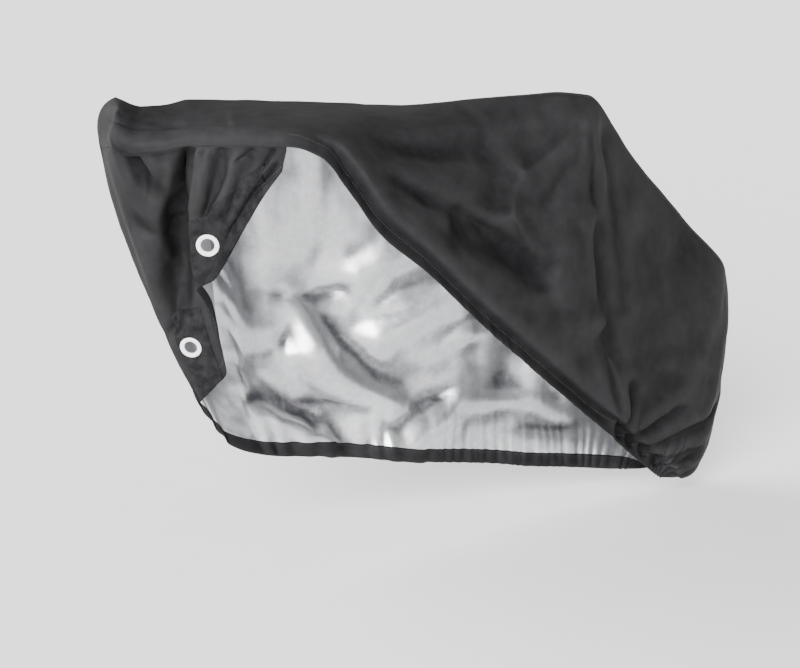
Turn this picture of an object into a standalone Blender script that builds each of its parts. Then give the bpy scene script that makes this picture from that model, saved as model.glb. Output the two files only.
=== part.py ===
"""Bicycle cover: a hooded sheet of coated cloth as it hangs on a bicycle, its near side pulled up.

Two cloth panels meet at one seam, which runs from the middle of the handlebar round the far grip, along
the crest to the saddle, down the rear slope and under the rear wheel. Each panel is a loft of hanging
lines. A line is a cubic curve from the seam, by two guide points, to the hem. Two corner patches, each
with a hole for a lock, are sewn into the far panel, and a plastic eyelet sits in each hole.

Places are in metres from the floor under the rear axle: x to the rear, y to the far side, z up. The
finished part is moved so that its origin is the top of the saddle, which holds it up.
"""
import bpy
import bmesh
import numpy as np
from mathutils import Matrix, Vector

SADDLE_TOP = Vector((-0.10, -0.02, 1.030))

SHEET = 0.002            # thickness of the coated cloth
SEAM_GAP = 0.0003        # between the cloth and an eyelet
SEAM_INSET = 0.00035     # how far each sewn edge stays back from its seam
HEM_BAND = 0.035         # width of the turned hem
HEM_LIP = 0.020          # height in which the cloth falls from its blouse to the hem
HEM_TUCK = 0.014         # how far the hem is drawn in behind the blouse
NEAR_ROWS = 16
FAR_ROWS = 18

# Near panel, from the far corner to the rear: (columns to the next line, crest, brow, belly, edge)
NEAR_LINES = (
    (2, (-1.042, 0.240, 1.105), (-1.072, 0.285, 1.085), (-1.074, 0.284, 1.035), (-1.068, 0.270, 0.994)),
    (2, (-1.034, 0.226, 1.101), (-1.072, 0.178, 1.094), (-1.074, 0.172, 1.060), (-1.086, 0.162, 1.012)),
    (2, (-1.000, 0.202, 1.087), (-1.040, 0.148, 1.070), (-1.048, 0.138, 1.050), (-1.064, 0.126, 1.001)),
    (2, (-0.950, 0.192, 1.087), (-0.992, 0.112, 1.068), (-1.000, 0.100, 1.045), (-1.022, 0.084, 1.004)),
    (3, (-0.901, 0.188, 1.093), (-0.945, 0.080, 1.070), (-0.958, 0.065, 1.046), (-0.974, 0.048, 1.017)),
    (4, (-0.880, 0.184, 1.092), (-0.930, 0.068, 1.070), (-0.945, 0.050, 1.047), (-0.962, 0.032, 1.017)),
    (4, (-0.785, 0.170, 1.082), (-0.855, 0.020, 1.068), (-0.880, -0.020, 1.050), (-0.897, -0.042, 1.019)),
    (2, (-0.681, 0.148, 1.071), (-0.770, -0.040, 1.064), (-0.812, -0.090, 1.052), (-0.836, -0.120, 1.020)),
    (2, (-0.591, 0.120, 1.062), (-0.680, -0.080, 1.058), (-0.742, -0.150, 1.040), (-0.776, -0.160, 0.996)),
    (2, (-0.507, 0.092, 1.053), (-0.600, -0.100, 1.048), (-0.690, -0.180, 1.010), (-0.728, -0.185, 0.925)),
    (2, (-0.428, 0.068, 1.046), (-0.520, -0.110, 1.040), (-0.640, -0.205, 0.970), (-0.670, -0.205, 0.832)),
    (3, (-0.327, 0.040, 1.048), (-0.400, -0.105, 1.035), (-0.545, -0.220, 0.900), (-0.550, -0.220, 0.724)),
    (3, (-0.211, 0.010, 1.050), (-0.250, -0.095, 1.035), (-0.420, -0.215, 0.800), (-0.430, -0.218, 0.606)),
    (3, (-0.099, -0.010, 1.050), (-0.110, -0.095, 1.035), (-0.270, -0.200, 0.700), (-0.300, -0.205, 0.490)),
    (3, (0.018, -0.020, 1.036), (-0.005, -0.095, 1.000), (-0.120, -0.185, 0.600), (-0.150, -0.175, 0.364)),
    (3, (0.145, -0.018, 0.888), (0.105, -0.085, 0.830), (0.020, -0.165, 0.450), (-0.010, -0.140, 0.248)),
    (2, (0.321, -0.010, 0.706), (0.262, -0.076, 0.625), (0.150, -0.150, 0.330), (0.110, -0.098, 0.148)),
    (2, (0.474, -0.003, 0.552), (0.405, -0.072, 0.470), (0.250, -0.140, 0.240), (0.172, -0.074, 0.098)),
    (3, (0.490, 0.000, 0.455), (0.430, -0.076, 0.370), (0.285, -0.125, 0.170), (0.196, -0.064, 0.078)),
    (3, (0.468, 0.000, 0.287), (0.420, -0.074, 0.220), (0.300, -0.110, 0.105), (0.212, -0.058, 0.066)),
    (2, (0.420, 0.000, 0.110), (0.378, -0.066, 0.085), (0.295, -0.088, 0.062), (0.228, -0.050, 0.058)),
    (2, (0.366, 0.000, 0.052), (0.345, -0.046, 0.044), (0.290, -0.064, 0.044), (0.244, -0.044, 0.056)),
    (0, (0.290, 0.000, 0.052), (0.282, -0.014, 0.052), (0.274, -0.028, 0.053), (0.264, -0.040, 0.056)),
)
MIDDLE = 7               # the near line where the sewn edge ends and the free hem starts

# Far panel across the front: (share of the sewn edge from its free end, lead, drape, hem)
FRONT_LINES = (
    (0.000, (-0.833, -0.112, 1.000), (-0.838, -0.104, 0.985), (-0.839, -0.100, 0.967)),
    (0.100, (-0.850, -0.080, 0.985), (-0.856, -0.072, 0.960), (-0.858, -0.070, 0.925)),
    (0.200, (-0.880, -0.040, 0.975), (-0.890, -0.030, 0.930), (-0.882, -0.032, 0.862)),
    (0.300, (-0.930, 0.000, 0.970), (-0.940, 0.000, 0.880), (-0.910, 0.010, 0.785)),
    (0.360, (-0.945, 0.014, 0.965), (-0.970, 0.015, 0.855), (-0.937, 0.038, 0.730)),
    (0.395, (-0.962, 0.030, 0.960), (-1.010, 0.038, 0.850), (-0.968, 0.052, 0.713)),
    (0.420, (-0.920, 0.075, 0.960), (-0.905, 0.110, 0.820), (-0.900, 0.125, 0.620)),
    (0.450, (-0.960, 0.080, 0.950), (-0.950, 0.112, 0.720), (-0.862, 0.148, 0.490)),
    (0.550, (-0.995, 0.110, 0.950), (-0.974, 0.145, 0.720), (-0.878, 0.160, 0.465)),
    (0.700, (-1.030, 0.140, 0.950), (-0.992, 0.185, 0.715), (-0.893, 0.172, 0.445)),
    (0.850, (-1.065, 0.180, 0.930), (-1.006, 0.215, 0.700), (-0.905, 0.182, 0.430)),
    (1.000, (-1.070, 0.262, 0.870), (-1.010, 0.235, 0.680), (-0.915, 0.190, 0.415)),
)

# Far panel behind the far corner: (near line that it meets at the seam, lead, drape, hem)
FAR_LINES = (
    (0, (-1.052, 0.288, 1.030), (-0.965, 0.260, 0.660), (-0.855, 0.180, 0.318)),
    (2, (-0.990, 0.292, 1.075), (-0.915, 0.280, 0.680), (-0.820, 0.185, 0.290)),
    (5, (-0.860, 0.288, 1.085), (-0.830, 0.290, 0.680), (-0.740, 0.190, 0.258)),
    (7, (-0.660, 0.260, 1.060), (-0.640, 0.280, 0.650), (-0.620, 0.190, 0.230)),
    (9, (-0.500, 0.220, 1.040), (-0.490, 0.240, 0.600), (-0.490, 0.180, 0.200)),
    (11, (-0.320, 0.160, 1.030), (-0.330, 0.200, 0.600), (-0.340, 0.165, 0.165)),
    (13, (-0.100, 0.100, 1.040), (-0.120, 0.160, 0.600), (-0.150, 0.145, 0.125)),
    (14, (0.020, 0.080, 1.000), (-0.010, 0.150, 0.500), (-0.050, 0.120, 0.103)),
    (15, (0.130, 0.070, 0.830), (0.080, 0.140, 0.400), (0.050, 0.100, 0.085)),
    (17, (0.415, 0.075, 0.470), (0.270, 0.120, 0.230), (0.170, 0.070, 0.062)),
    (19, (0.425, 0.074, 0.220), (0.310, 0.100, 0.100), (0.215, 0.055, 0.055)),
    (21, (0.345, 0.046, 0.044), (0.290, 0.062, 0.044), (0.240, 0.045, 0.053)),
    (22, (0.282, 0.014, 0.052), (0.274, 0.026, 0.053), (0.264, 0.036, 0.056)),
)

# Main folds: (start, end, half width, height out of the cloth)
FOLDS = (
    # near side: the long crease from the saddle to the gather, with its hollow
    ((-0.002, -0.062, 0.979), (-0.064, -0.128, 0.781), 0.034, 0.014),
    ((-0.064, -0.128, 0.781), (-0.065, -0.156, 0.540), 0.034, 0.018),
    ((-0.065, -0.156, 0.540), (0.040, -0.135, 0.280), 0.034, 0.016),
    ((0.027, -0.070, 0.940), (0.030, -0.125, 0.560), 0.034, -0.012),
    # near side: the bright swag in front of the saddle and the hollows round it
    ((-0.060, -0.080, 0.970), (-0.240, -0.130, 0.900), 0.038, 0.014),
    ((-0.258, -0.125, 0.906), (-0.310, -0.164, 0.819), 0.040, 0.014),
    ((-0.310, -0.164, 0.819), (-0.223, -0.178, 0.656), 0.040, 0.014),
    ((-0.050, -0.080, 0.940), (-0.202, -0.141, 0.835), 0.026, -0.012),
    ((-0.450, -0.190, 0.815), (-0.231, -0.177, 0.675), 0.042, -0.024),
    ((-0.600, -0.120, 0.995), (-0.355, -0.112, 0.960), 0.045, -0.014),
    # near side: the gather under the rear wheel
    ((0.062, -0.133, 0.350), (0.052, -0.126, 0.240), 0.018, -0.012),
    ((0.105, -0.110, 0.205), (0.226, -0.104, 0.253), 0.018, -0.012),
    ((0.165, -0.094, 0.159), (0.345, -0.078, 0.184), 0.018, -0.012),
    ((0.210, -0.081, 0.110), (0.330, -0.075, 0.118), 0.015, -0.010),
    ((0.137, -0.086, 0.663), (0.322, -0.080, 0.434), 0.060, -0.008),
    # across the front: pocket under the far grip, falls of the cloth, folds beside the eyelet
    ((-1.073, 0.140, 0.985), (-0.995, 0.104, 0.889), 0.026, -0.018),
    ((-1.030, 0.120, 0.960), (-1.005, 0.152, 0.742), 0.028, 0.012),
    ((-1.049, 0.186, 0.851), (-1.001, 0.127, 0.816), 0.016, -0.008),
    ((-0.950, 0.018, 0.990), (-0.972, 0.032, 0.890), 0.012, 0.007),
    ((-0.930, -0.005, 0.990), (-0.955, 0.020, 0.880), 0.012, -0.009),
    ((-0.908, -0.026, 0.990), (-0.940, 0.010, 0.875), 0.012, 0.008),
    ((-0.888, -0.050, 0.990), (-0.914, -0.004, 0.880), 0.012, -0.010),
    # far side: swags and billows that also show from inside
    ((-0.692, 0.234, 0.485), (-0.618, 0.211, 0.343), 0.045, 0.018),
    ((-0.618, 0.211, 0.343), (-0.517, 0.184, 0.214), 0.045, 0.018),
    ((-0.630, 0.240, 0.600), (-0.590, 0.229, 0.486), 0.050, -0.024),
    ((-0.590, 0.229, 0.486), (-0.430, 0.191, 0.332), 0.050, -0.024),
    ((-0.736, 0.212, 0.355), (-0.574, 0.192, 0.244), 0.040, -0.014),
    ((-0.285, 0.153, 0.742), (-0.475, 0.207, 0.653), 0.050, -0.026),
    ((-0.256, 0.159, 0.580), (-0.431, 0.197, 0.503), 0.050, -0.030),
    ((-0.232, 0.160, 0.301), (-0.401, 0.173, 0.192), 0.055, -0.026),
    ((-0.970, 0.270, 0.980), (-0.870, 0.235, 0.480), 0.040, 0.014),
    ((-0.080, 0.085, 0.940), (-0.100, 0.150, 0.340), 0.038, 0.016),
    ((0.300, 0.078, 0.600), (0.150, 0.110, 0.240), 0.040, 0.014),
)

# Corner patches of the far panel: (name, first and last share of the sewn edge, first row,
# place of the hole as shares of the patch across and down)
PATCHES = (
    ("near", 0.12, 0.40, 9, (0.75, 0.58)),
    ("far", 0.49, 0.88, 11, (0.60, 0.38)),
)
PATCH_FINER = 2          # cells of a patch for each cell of its panel
FLAT_RADIUS = 0.040      # the cloth is flat this far round an eyelet
BLEND_RADIUS = 0.060     # and follows its folds again from here

# Eyelet: two plastic flanges joined by a barrel, with the cloth held between them
EYELET_OUTER = 0.024
EYELET_BARREL = 0.0165
EYELET_BORE = 0.0145
EYELET_FLANGE = 0.0018
EYELET_SIDES = 24
HOLE_RADIUS = EYELET_BARREL + SEAM_GAP
GROOVE = SHEET / 2 + SEAM_GAP

SHARP_ANGLE = 0.9        # in radians: steeper edges than this are shaded sharp
BLACK = (0.022, 0.022, 0.024, 1.0)
WHITE = (0.86, 0.86, 0.85, 1.0)


def smooth(keys, values, at):
    """Read a smooth curve through the key values, with no overshoot between them."""
    keys = np.asarray(keys, float)
    values = np.asarray(values, float)
    steps = np.diff(keys)[:, None]
    slopes = np.diff(values, axis=0) / steps
    tangents = np.zeros_like(values)
    tangents[0] = slopes[0]
    tangents[-1] = slopes[-1]
    before, after = slopes[:-1], slopes[1:]
    same_way = before * after > 0
    total = np.where(same_way, before + after, 1.0)
    tangents[1:-1] = np.where(same_way, 2 * before * after / total, 0.0)
    place = np.clip(np.searchsorted(keys, at, side="right") - 1, 0, len(keys) - 2)
    span = steps[place, 0]
    share = (at - keys[place]) / span
    start = (1 + 2 * share) * (1 - share) ** 2 * values[place]
    leave = share * (1 - share) ** 2 * span * tangents[place]
    finish = share ** 2 * (3 - 2 * share) * values[place + 1]
    arrive = share ** 2 * (share - 1) * span * tangents[place + 1]
    return start + leave + finish + arrive


def hanging_line(guides, rows):
    """Points down the cubic curve of four guides: even, but for two closer rows at the hem band."""
    fine = np.linspace(0, 1, 65)[:, None]
    top, lead, drape, hem = guides
    curve = (top * (1 - fine) ** 3 + 3 * lead * fine * (1 - fine) ** 2
             + 3 * drape * fine ** 2 * (1 - fine) + hem * fine ** 3)
    walked = np.concatenate([[0], np.cumsum(np.linalg.norm(np.diff(curve, axis=0), axis=1))])
    length = walked[-1]
    band = min(HEM_BAND, length * 0.3)
    lip = min(HEM_LIP, length * 0.15)
    stops = np.append(np.linspace(0, length - band - lip, rows - 2), [length - band, length])
    return np.stack([np.interp(stops, walked, curve[:, axis]) for axis in range(3)], axis=1)


def near_columns():
    """Where the near panel's columns stand, counted in near lines."""
    places = []
    for line, row in enumerate(NEAR_LINES[:-1]):
        places += [line + step / row[0] for step in range(row[0])]
    return places + [len(NEAR_LINES) - 1]


def near_grid():
    """Points of the near panel: a column for each hanging line, seam first."""
    guides = np.array([row[1:] for row in NEAR_LINES]).reshape(len(NEAR_LINES), -1)
    columns = []
    for place in near_columns():
        four = smooth(range(len(NEAR_LINES)), guides, place).reshape(4, 3)
        columns.append(hanging_line(four, NEAR_ROWS))
    return np.array(columns)


def sewn_shares(sewn_edge):
    """How far along the sewn edge each of its points lies, from 0 to 1."""
    walked = np.concatenate([[0], np.cumsum(np.linalg.norm(np.diff(sewn_edge, axis=0), axis=1))])
    return walked / walked[-1]


def far_grid(near):
    """Points of the far panel, from its free edge across the front, round the corner and to the rear."""
    places = near_columns()
    sewn_edge = near[places.index(MIDDLE)::-1, -1]
    shares = sewn_shares(sewn_edge)
    front_keys = [row[0] for row in FRONT_LINES]
    front_guides = np.array([row[1:] for row in FRONT_LINES]).reshape(len(FRONT_LINES), -1)
    far_keys = [row[0] for row in FAR_LINES]
    far_guides = np.array([row[1:] for row in FAR_LINES]).reshape(len(FAR_LINES), -1)
    tops = list(sewn_edge)
    rests = [smooth(front_keys, front_guides, share) for share in shares]
    for row in range(NEAR_ROWS - 2, 0, -1):
        tops.append(near[0, row])
        share = row / (NEAR_ROWS - 1)
        rests.append(front_guides[-1] * share + far_guides[0] * (1 - share))
    for column, place in enumerate(places):
        tops.append(near[column, 0])
        rests.append(smooth(far_keys, far_guides, place))
    lines = [np.vstack([top, rest.reshape(3, 3)]) for top, rest in zip(tops, rests)]
    return np.array([hanging_line(line, FAR_ROWS) for line in lines])


def outward_normals(near, far):
    """Outward normal at every point of both panels; points that the panels share get the same one."""
    sums = {}
    keys = []
    for grid, side in ((near, -1), (far, 1)):
        here = np.round(grid, 5)
        keys.append([[tuple(point) for point in column] for column in here])
        across = grid[1:, 1:] - grid[:-1, :-1]
        down = grid[:-1, 1:] - grid[1:, :-1]
        faces = np.cross(down, across) * -side
        faces /= np.maximum(np.linalg.norm(faces, axis=2, keepdims=True), 1e-9)
        for column in range(faces.shape[0]):
            for row in range(faces.shape[1]):
                for corner in ((0, 0), (0, 1), (1, 0), (1, 1)):
                    key = keys[-1][column + corner[0]][row + corner[1]]
                    sums[key] = sums.get(key, 0) + faces[column, row]
    return [np.array([[sums[key] / np.linalg.norm(sums[key]) for key in column] for column in table])
            for table in keys]


def fold_heights(points):
    """How far the main folds lift each point out of the cloth."""
    lift = np.zeros(points.shape[:2])
    for start, end, half_width, height in FOLDS:
        start = np.array(start)
        run = np.array(end) - start
        share = np.clip((points - start) @ run / (run @ run), 0, 1)
        away = np.linalg.norm(points - start - share[..., None] * run, axis=2)
        lift += height * np.exp(-(away / half_width) ** 2)
    return lift


def draw_in_hem(near, normals):
    """Pull the free hem of the near panel in behind the blouse above it."""
    for column, place in enumerate(near_columns()):
        rise = min(max((place - MIDDLE) / 2, 0), 1)
        fall = min((len(NEAR_LINES) - 1 - place) / 4, 1)
        near[column, -2:] -= normals[column, -2:] * HEM_TUCK * rise * fall


def patch_block(far, shares, first, last, top_row):
    """Columns and rows that a corner patch takes out of the far panel."""
    columns = [index for index, share in enumerate(shares) if first <= share <= last + 0.002]
    return columns[0], columns[-1], top_row, FAR_ROWS - 1


def point_in(grid, block, across, down):
    """Point of a grid at shares across and down a block of it."""
    left, right, top, bottom = block
    column = left + across * (right - left)
    row = top + down * (bottom - top)
    line, step = int(column), int(row)
    past, below = column - line, row - step
    upper = (1 - past) * grid[line, step] + past * grid[line + 1, step]
    lower = (1 - past) * grid[line, step + 1] + past * grid[line + 1, step + 1]
    return (1 - below) * upper + below * lower


def refine(grid, times):
    """Split each cell of a grid evenly, so that its borders stay where they are."""
    for axis in (0, 1):
        count = grid.shape[axis]
        stops = np.linspace(0, count - 1, (count - 1) * times + 1)
        low = np.minimum(stops.astype(int), count - 2)
        share = np.expand_dims(stops - low, tuple(a for a in (0, 1, 2) if a != axis))
        grid = np.take(grid, low, axis) * (1 - share) + np.take(grid, low + 1, axis) * share
    return grid


def flatten(grid, centre, normal, columns, rows):
    """Lay the cloth round an eyelet in the eyelet's plane."""
    for column in columns:
        for row in rows:
            offset = grid[column, row] - centre
            away = np.linalg.norm(offset)
            if away < BLEND_RADIUS:
                ease = min(max((BLEND_RADIUS - away) / (BLEND_RADIUS - FLAT_RADIUS), 0), 1)
                ease = ease * ease * (3 - 2 * ease)
                grid[column, row] = grid[column, row] - normal * (offset @ normal) * ease


def material(name, colour, roughness):
    """Principled material of one plain colour."""
    finish = bpy.data.materials.new(name)
    finish.use_nodes = True
    shader = finish.node_tree.nodes["Principled BSDF"]
    shader.inputs["Base Color"].default_value = colour
    shader.inputs["Roughness"].default_value = roughness
    finish.diffuse_color = colour
    return finish


def add_object(name, mesh_maker, finish, collection):
    """Make an object in the collection from a bmesh."""
    mesh = bpy.data.meshes.new(name)
    mesh_maker.normal_update()
    mesh_maker.to_mesh(mesh)
    mesh_maker.free()
    mesh.materials.append(finish)
    mesh.shade_smooth()
    mesh.set_sharp_from_angle(angle=SHARP_ANGLE)
    thing = bpy.data.objects.new(name, mesh)
    collection.objects.link(thing)
    return thing


def seam_inset(grid, sewn):
    """Draw each sewn point of a panel back from the seam by half of the gap."""
    moved = grid.copy()
    for (column, row), (across, down) in sewn.items():
        inward = grid[column + across, row + down] - grid[column, row]
        moved[column, row] += inward / np.linalg.norm(inward) * SEAM_INSET
    return moved


def block_border(block, way):
    """Border of a patch, but for its hem: way is 1 for the patch itself and -1 for the panel round it."""
    left, right, top, bottom = block
    border = {(column, top): (0, way) for column in range(left + 1, right)}
    border.update({(left, row): (way, 0) for row in range(top + 1, bottom + 1)})
    border.update({(right, row): (-way, 0) for row in range(top + 1, bottom + 1)})
    border[left, top] = (way, way)
    border[right, top] = (-way, way)
    return border


def thick_cloth(name, grid, normals, cells, finish, collection):
    """Closed sheet on the given cells of a grid, half of its thickness on each side of the points."""
    maker = bmesh.new()
    skins = {}
    for column, row in cells:
        for place in ((column, row), (column + 1, row), (column + 1, row + 1), (column, row + 1)):
            if place not in skins:
                out = normals[place] * SHEET / 2
                skins[place] = [maker.verts.new(Vector(grid[place] + side * out) - SADDLE_TOP)
                                for side in (1, -1)]
    borders = set()
    for column, row in cells:
        ring = [(column, row), (column, row + 1), (column + 1, row + 1), (column + 1, row)]
        maker.faces.new([skins[key][0] for key in ring])
        maker.faces.new([skins[key][1] for key in reversed(ring)])
        for start, end in zip(ring, ring[1:] + ring[:1]):
            if (end, start) in borders:
                borders.remove((end, start))
            else:
                borders.add((start, end))
    for start, end in sorted(borders):
        maker.faces.new([skins[start][0], skins[start][1], skins[end][1], skins[end][0]])
    bmesh.ops.recalc_face_normals(maker, faces=maker.faces)
    bmesh.ops.triangulate(maker, faces=maker.faces)
    return add_object(name, maker, finish, collection)


def turn_to(centre, normal):
    """Matrix that takes the Z axis at the origin to an eyelet's axis, in the finished part's frame."""
    turn = Vector((0, 0, 1)).rotation_difference(Vector(normal)).to_matrix().to_4x4()
    return Matrix.Translation(Vector(centre) - SADDLE_TOP) @ turn


def cut_hole(patch, centre, normal, cutters):
    """Cut the round hole for an eyelet through a patch."""
    maker = bmesh.new()
    bmesh.ops.create_cone(maker, cap_ends=True, segments=EYELET_SIDES, radius1=HOLE_RADIUS,
                          radius2=HOLE_RADIUS, depth=0.02, matrix=turn_to(centre, normal))
    mesh = bpy.data.meshes.new(patch.name + "_cutter")
    maker.to_mesh(mesh)
    maker.free()
    cutter = bpy.data.objects.new(mesh.name, mesh)
    cutters.objects.link(cutter)
    cutter.hide_render = True
    cutter.display_type = "WIRE"
    cut = patch.modifiers.new("hole", "BOOLEAN")
    cut.operation = "DIFFERENCE"
    cut.solver = "EXACT"
    cut.object = cutter


def eyelet(name, centre, normal, finish, collection):
    """Plastic eyelet: a turned ring with a groove for the cloth."""
    top = GROOVE + EYELET_FLANGE
    soften = EYELET_FLANGE * 0.4
    outline = (
        (EYELET_BORE, top), (EYELET_OUTER - soften, top), (EYELET_OUTER, top - soften),
        (EYELET_OUTER, GROOVE), (EYELET_BARREL, GROOVE), (EYELET_BARREL, -GROOVE),
        (EYELET_OUTER, -GROOVE), (EYELET_OUTER, soften - top), (EYELET_OUTER - soften, -top),
        (EYELET_BORE, -top),
    )
    maker = bmesh.new()
    corners = [maker.verts.new((across, 0, up)) for across, up in outline]
    edges = [maker.edges.new((a, b)) for a, b in zip(corners, corners[1:] + corners[:1])]
    bmesh.ops.spin(maker, geom=corners + edges, cent=(0, 0, 0), axis=(0, 0, 1), angle=2 * np.pi,
                   steps=EYELET_SIDES, use_merge=True)
    bmesh.ops.recalc_face_normals(maker, faces=maker.faces)
    bmesh.ops.transform(maker, matrix=turn_to(centre, normal), verts=maker.verts)
    return add_object(name, maker, finish, collection)


def main():
    """Model the whole cover."""
    for thing in list(bpy.data.objects):
        bpy.data.objects.remove(thing, do_unlink=True)
    cover = bpy.data.collections.new("bicycle_cover")
    cutters = bpy.data.collections.new("cutters")
    for collection in (cover, cutters):
        bpy.context.scene.collection.children.link(collection)
    cloth = material("coated_cloth", BLACK, 0.5)
    patch_cloth = material("patch_cloth", BLACK, 0.65)
    plastic = material("eyelet_plastic", WHITE, 0.35)

    near = near_grid()
    middle = near_columns().index(MIDDLE)
    far = far_grid(near)
    shares = sewn_shares(near[middle::-1, -1])
    near_out, far_out = outward_normals(near, far)
    near_lift = fold_heights(near)[..., None]
    far_lift = fold_heights(far)[..., None]
    draw_in_hem(near, near_out)
    near += near_out * near_lift
    far += far_out * far_lift

    locks = []
    for name, first, last, top_row, (across, down) in PATCHES:
        block = patch_block(far, shares, first, last, top_row)
        near_out, far_out = outward_normals(near, far)
        centre = point_in(far, block, across, down)
        normal = point_in(far_out, block, across, down)
        normal = normal / np.linalg.norm(normal)
        flatten(far, centre, normal, range(block[0], block[1] + 1), range(FAR_ROWS))
        locks.append((name, block, centre, normal))
    near_out, far_out = outward_normals(near, far)

    crest = {(column, 0): (0, 1) for column in range(1, len(near))}
    sewn = {(column, NEAR_ROWS - 1): (0, -1) for column in range(1, middle + 1)}
    end = {(0, row): (1, 0) for row in range(1, NEAR_ROWS - 1)}
    corners = {(0, 0): (1, 1), (0, NEAR_ROWS - 1): (1, -1)}
    near_sewn = {**crest, **sewn, **end, **corners}
    far_sewn = {(column, 0): (0, 1) for column in range(len(far))}
    far_cells = {(column, row) for column in range(len(far) - 1) for row in range(FAR_ROWS - 1)}
    near_cells = [(column, row) for column in range(len(near) - 1) for row in range(NEAR_ROWS - 1)]
    for name, block, centre, normal in locks:
        left, right, top, bottom = block
        far_cells -= {(column, row) for column in range(left, right) for row in range(top, bottom)}
        far_sewn.update(block_border(block, -1))
        inset = seam_inset(far, block_border(block, 1))[left:right + 1, top:bottom + 1]
        fine = refine(inset, PATCH_FINER)
        fine_out = refine(far_out[left:right + 1, top:bottom + 1], PATCH_FINER)
        wide, tall = fine.shape[0] - 1, fine.shape[1] - 1
        flatten(fine, centre, normal, range(1, wide), range(1, tall))
        cells = [(column, row) for column in range(wide) for row in range(tall)]
        patch = thick_cloth("lock_patch_" + name, fine, fine_out, cells, patch_cloth, cover)
        cut_hole(patch, centre, normal, cutters)
        eyelet("eyelet_" + name, centre, normal, plastic, cover)
    thick_cloth("near_panel", seam_inset(near, near_sewn), near_out, near_cells, cloth, cover)
    thick_cloth("far_panel", seam_inset(far, far_sewn), far_out, sorted(far_cells), cloth, cover)


# ---- build
main()
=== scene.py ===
"""Looks of the bicycle cover: coated cloth, black outside and silver inside, with hems, seams and eyelets.

Each panel is a fine loft on the same hanging lines as its solid, with the same main folds. It settles in a
short cloth simulation and gets its listed creases. Hems, stitches, patches and eyelets
are then made on the finished cloth. Tables hold places in metres from the floor under the rear axle: x to
the rear, y to the far side, z up. Every piece is moved so that the origin is the top of the saddle, as in
the frame.
"""
import math

import bmesh
import bpy
import numpy as np
from mathutils import Matrix, Vector, noise


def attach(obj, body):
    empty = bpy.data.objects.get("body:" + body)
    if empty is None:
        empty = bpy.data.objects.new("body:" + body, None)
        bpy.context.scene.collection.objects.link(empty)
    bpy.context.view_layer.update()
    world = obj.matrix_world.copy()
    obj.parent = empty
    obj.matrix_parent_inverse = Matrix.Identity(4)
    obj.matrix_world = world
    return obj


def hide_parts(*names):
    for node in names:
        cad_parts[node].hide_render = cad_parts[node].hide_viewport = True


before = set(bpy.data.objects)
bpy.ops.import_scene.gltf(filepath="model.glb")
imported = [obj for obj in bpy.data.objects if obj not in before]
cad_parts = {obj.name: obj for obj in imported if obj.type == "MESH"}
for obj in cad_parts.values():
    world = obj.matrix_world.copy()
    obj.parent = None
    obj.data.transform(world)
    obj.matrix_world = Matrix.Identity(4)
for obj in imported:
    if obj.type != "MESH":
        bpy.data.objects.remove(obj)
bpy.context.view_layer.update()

SADDLE_TOP = Vector((-0.10, -0.02, 1.030))

# How finely a sheet is divided
COLUMN_FINER = 5         # columns of a sheet for each column of its solid
LINE_STEPS = 256         # steps in which the length of a hanging line is measured
BODY_ROWS = 80           # rows of a sheet above its hem, then in the lip and in the band of the hem
LIP_ROWS = 5
BAND_ROWS = 7
END_COLUMNS = 14         # columns of the far sheet down the front end of the seam

# Cloth and hems
CLOTH = 0.0008           # thickness of the coated cloth
TURNED_CLOTH = 0.0006    # and of the turned part of a hem
HEM_BAND = 0.035         # width of the turned hem
HEM_LIP = 0.014          # height in which the cloth falls from its blouse to the hem
BAND_SHARE = 0.3         # the most of a short hanging line that the band takes
LIP_SHARE = 0.15         # and that the lip takes
HEM_TUCK = 0.024         # how far the top of the hem is drawn in behind the blouse
HEM_BLOUSE = 0.004       # how far the blouse bulges over it
BLOUSE_ROWS = 14         # rows above the lip in which it does
HEM_FLARE = 0.014        # and how far the hem comes out again at its edge
HEM_RISE = 0.0012        # from the cloth in to the turned part of the hem
HEM_SWELL = 0.0016       # how much further in that lies halfway down
HEM_CLOSE = 0.0005       # from the cloth in to it at the very edge
FRONT_OVERHANG = 0.008   # how far the fold across the front hangs out over its seam
OVERHANG_ROWS = (18, 6, 4)   # rows above the seam where that begins, is full and starts to end

# Corner patches of the far sheet: (name, first and last share of the sewn edge, first share of the fall,
# width and length it is cut to, area cut)
PATCHES = (
    ("near", 0.12, 0.40, 0.60, (0.20, 0.15), 0.024),
    ("far", 0.49, 0.88, 0.73, (0.17, 0.10), 0.014),
)
PATCH_RISE = 0.0007      # from the cloth out to the patch on it
FLAT_RADIUS = 0.034      # the cloth is flat this far round an eyelet
BLEND_RADIUS = 0.055     # and follows its folds again from here
HOLE_RADIUS = 0.0165     # hole in cloth and patch

# Eyelet: radius of its bore and rim, and heights of its dome over the middle of the cloth
EYELET_BORE = 0.0145
EYELET_OUTER = 0.024
EYELET_TOP = 0.0031
EYELET_FOOT = 0.0016
EYELET_STEP = 0.0008     # from the bore to where the dome begins
EYELET_UNDERCUT = 0.002  # from the rim in to its hollow underside
RIM_SHARE = 0.75         # height of the rim, and of that underside, as shares of the foot's
UNDERCUT_SHARE = 0.45
DOME_STEPS = 8
DOME_ROUND = 0.6         # the lower, the flatter the dome's top
DOME_ARC = (0.12, 0.80)  # where on a half turn the dome begins, and how much of it the dome takes
EYELET_SIDES = 96

# Elastic gathers of the hems: (first column, last column, spacing, height, reach up from the hem)
NEAR_GATHERS = (
    (98, 142, 0.050, 0.0012, 0.05),
    (142, 176, 0.014, 0.0024, 0.05),
    (176, 215, 0.030, 0.0015, 0.06),
    (215, 266, 0.012, 0.0045, 0.10),
)
FAR_GATHERS = (
    (90, 250, 0.060, 0.0040, 0.09),
    (250, 350, 0.024, 0.0032, 0.09),
)

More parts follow.
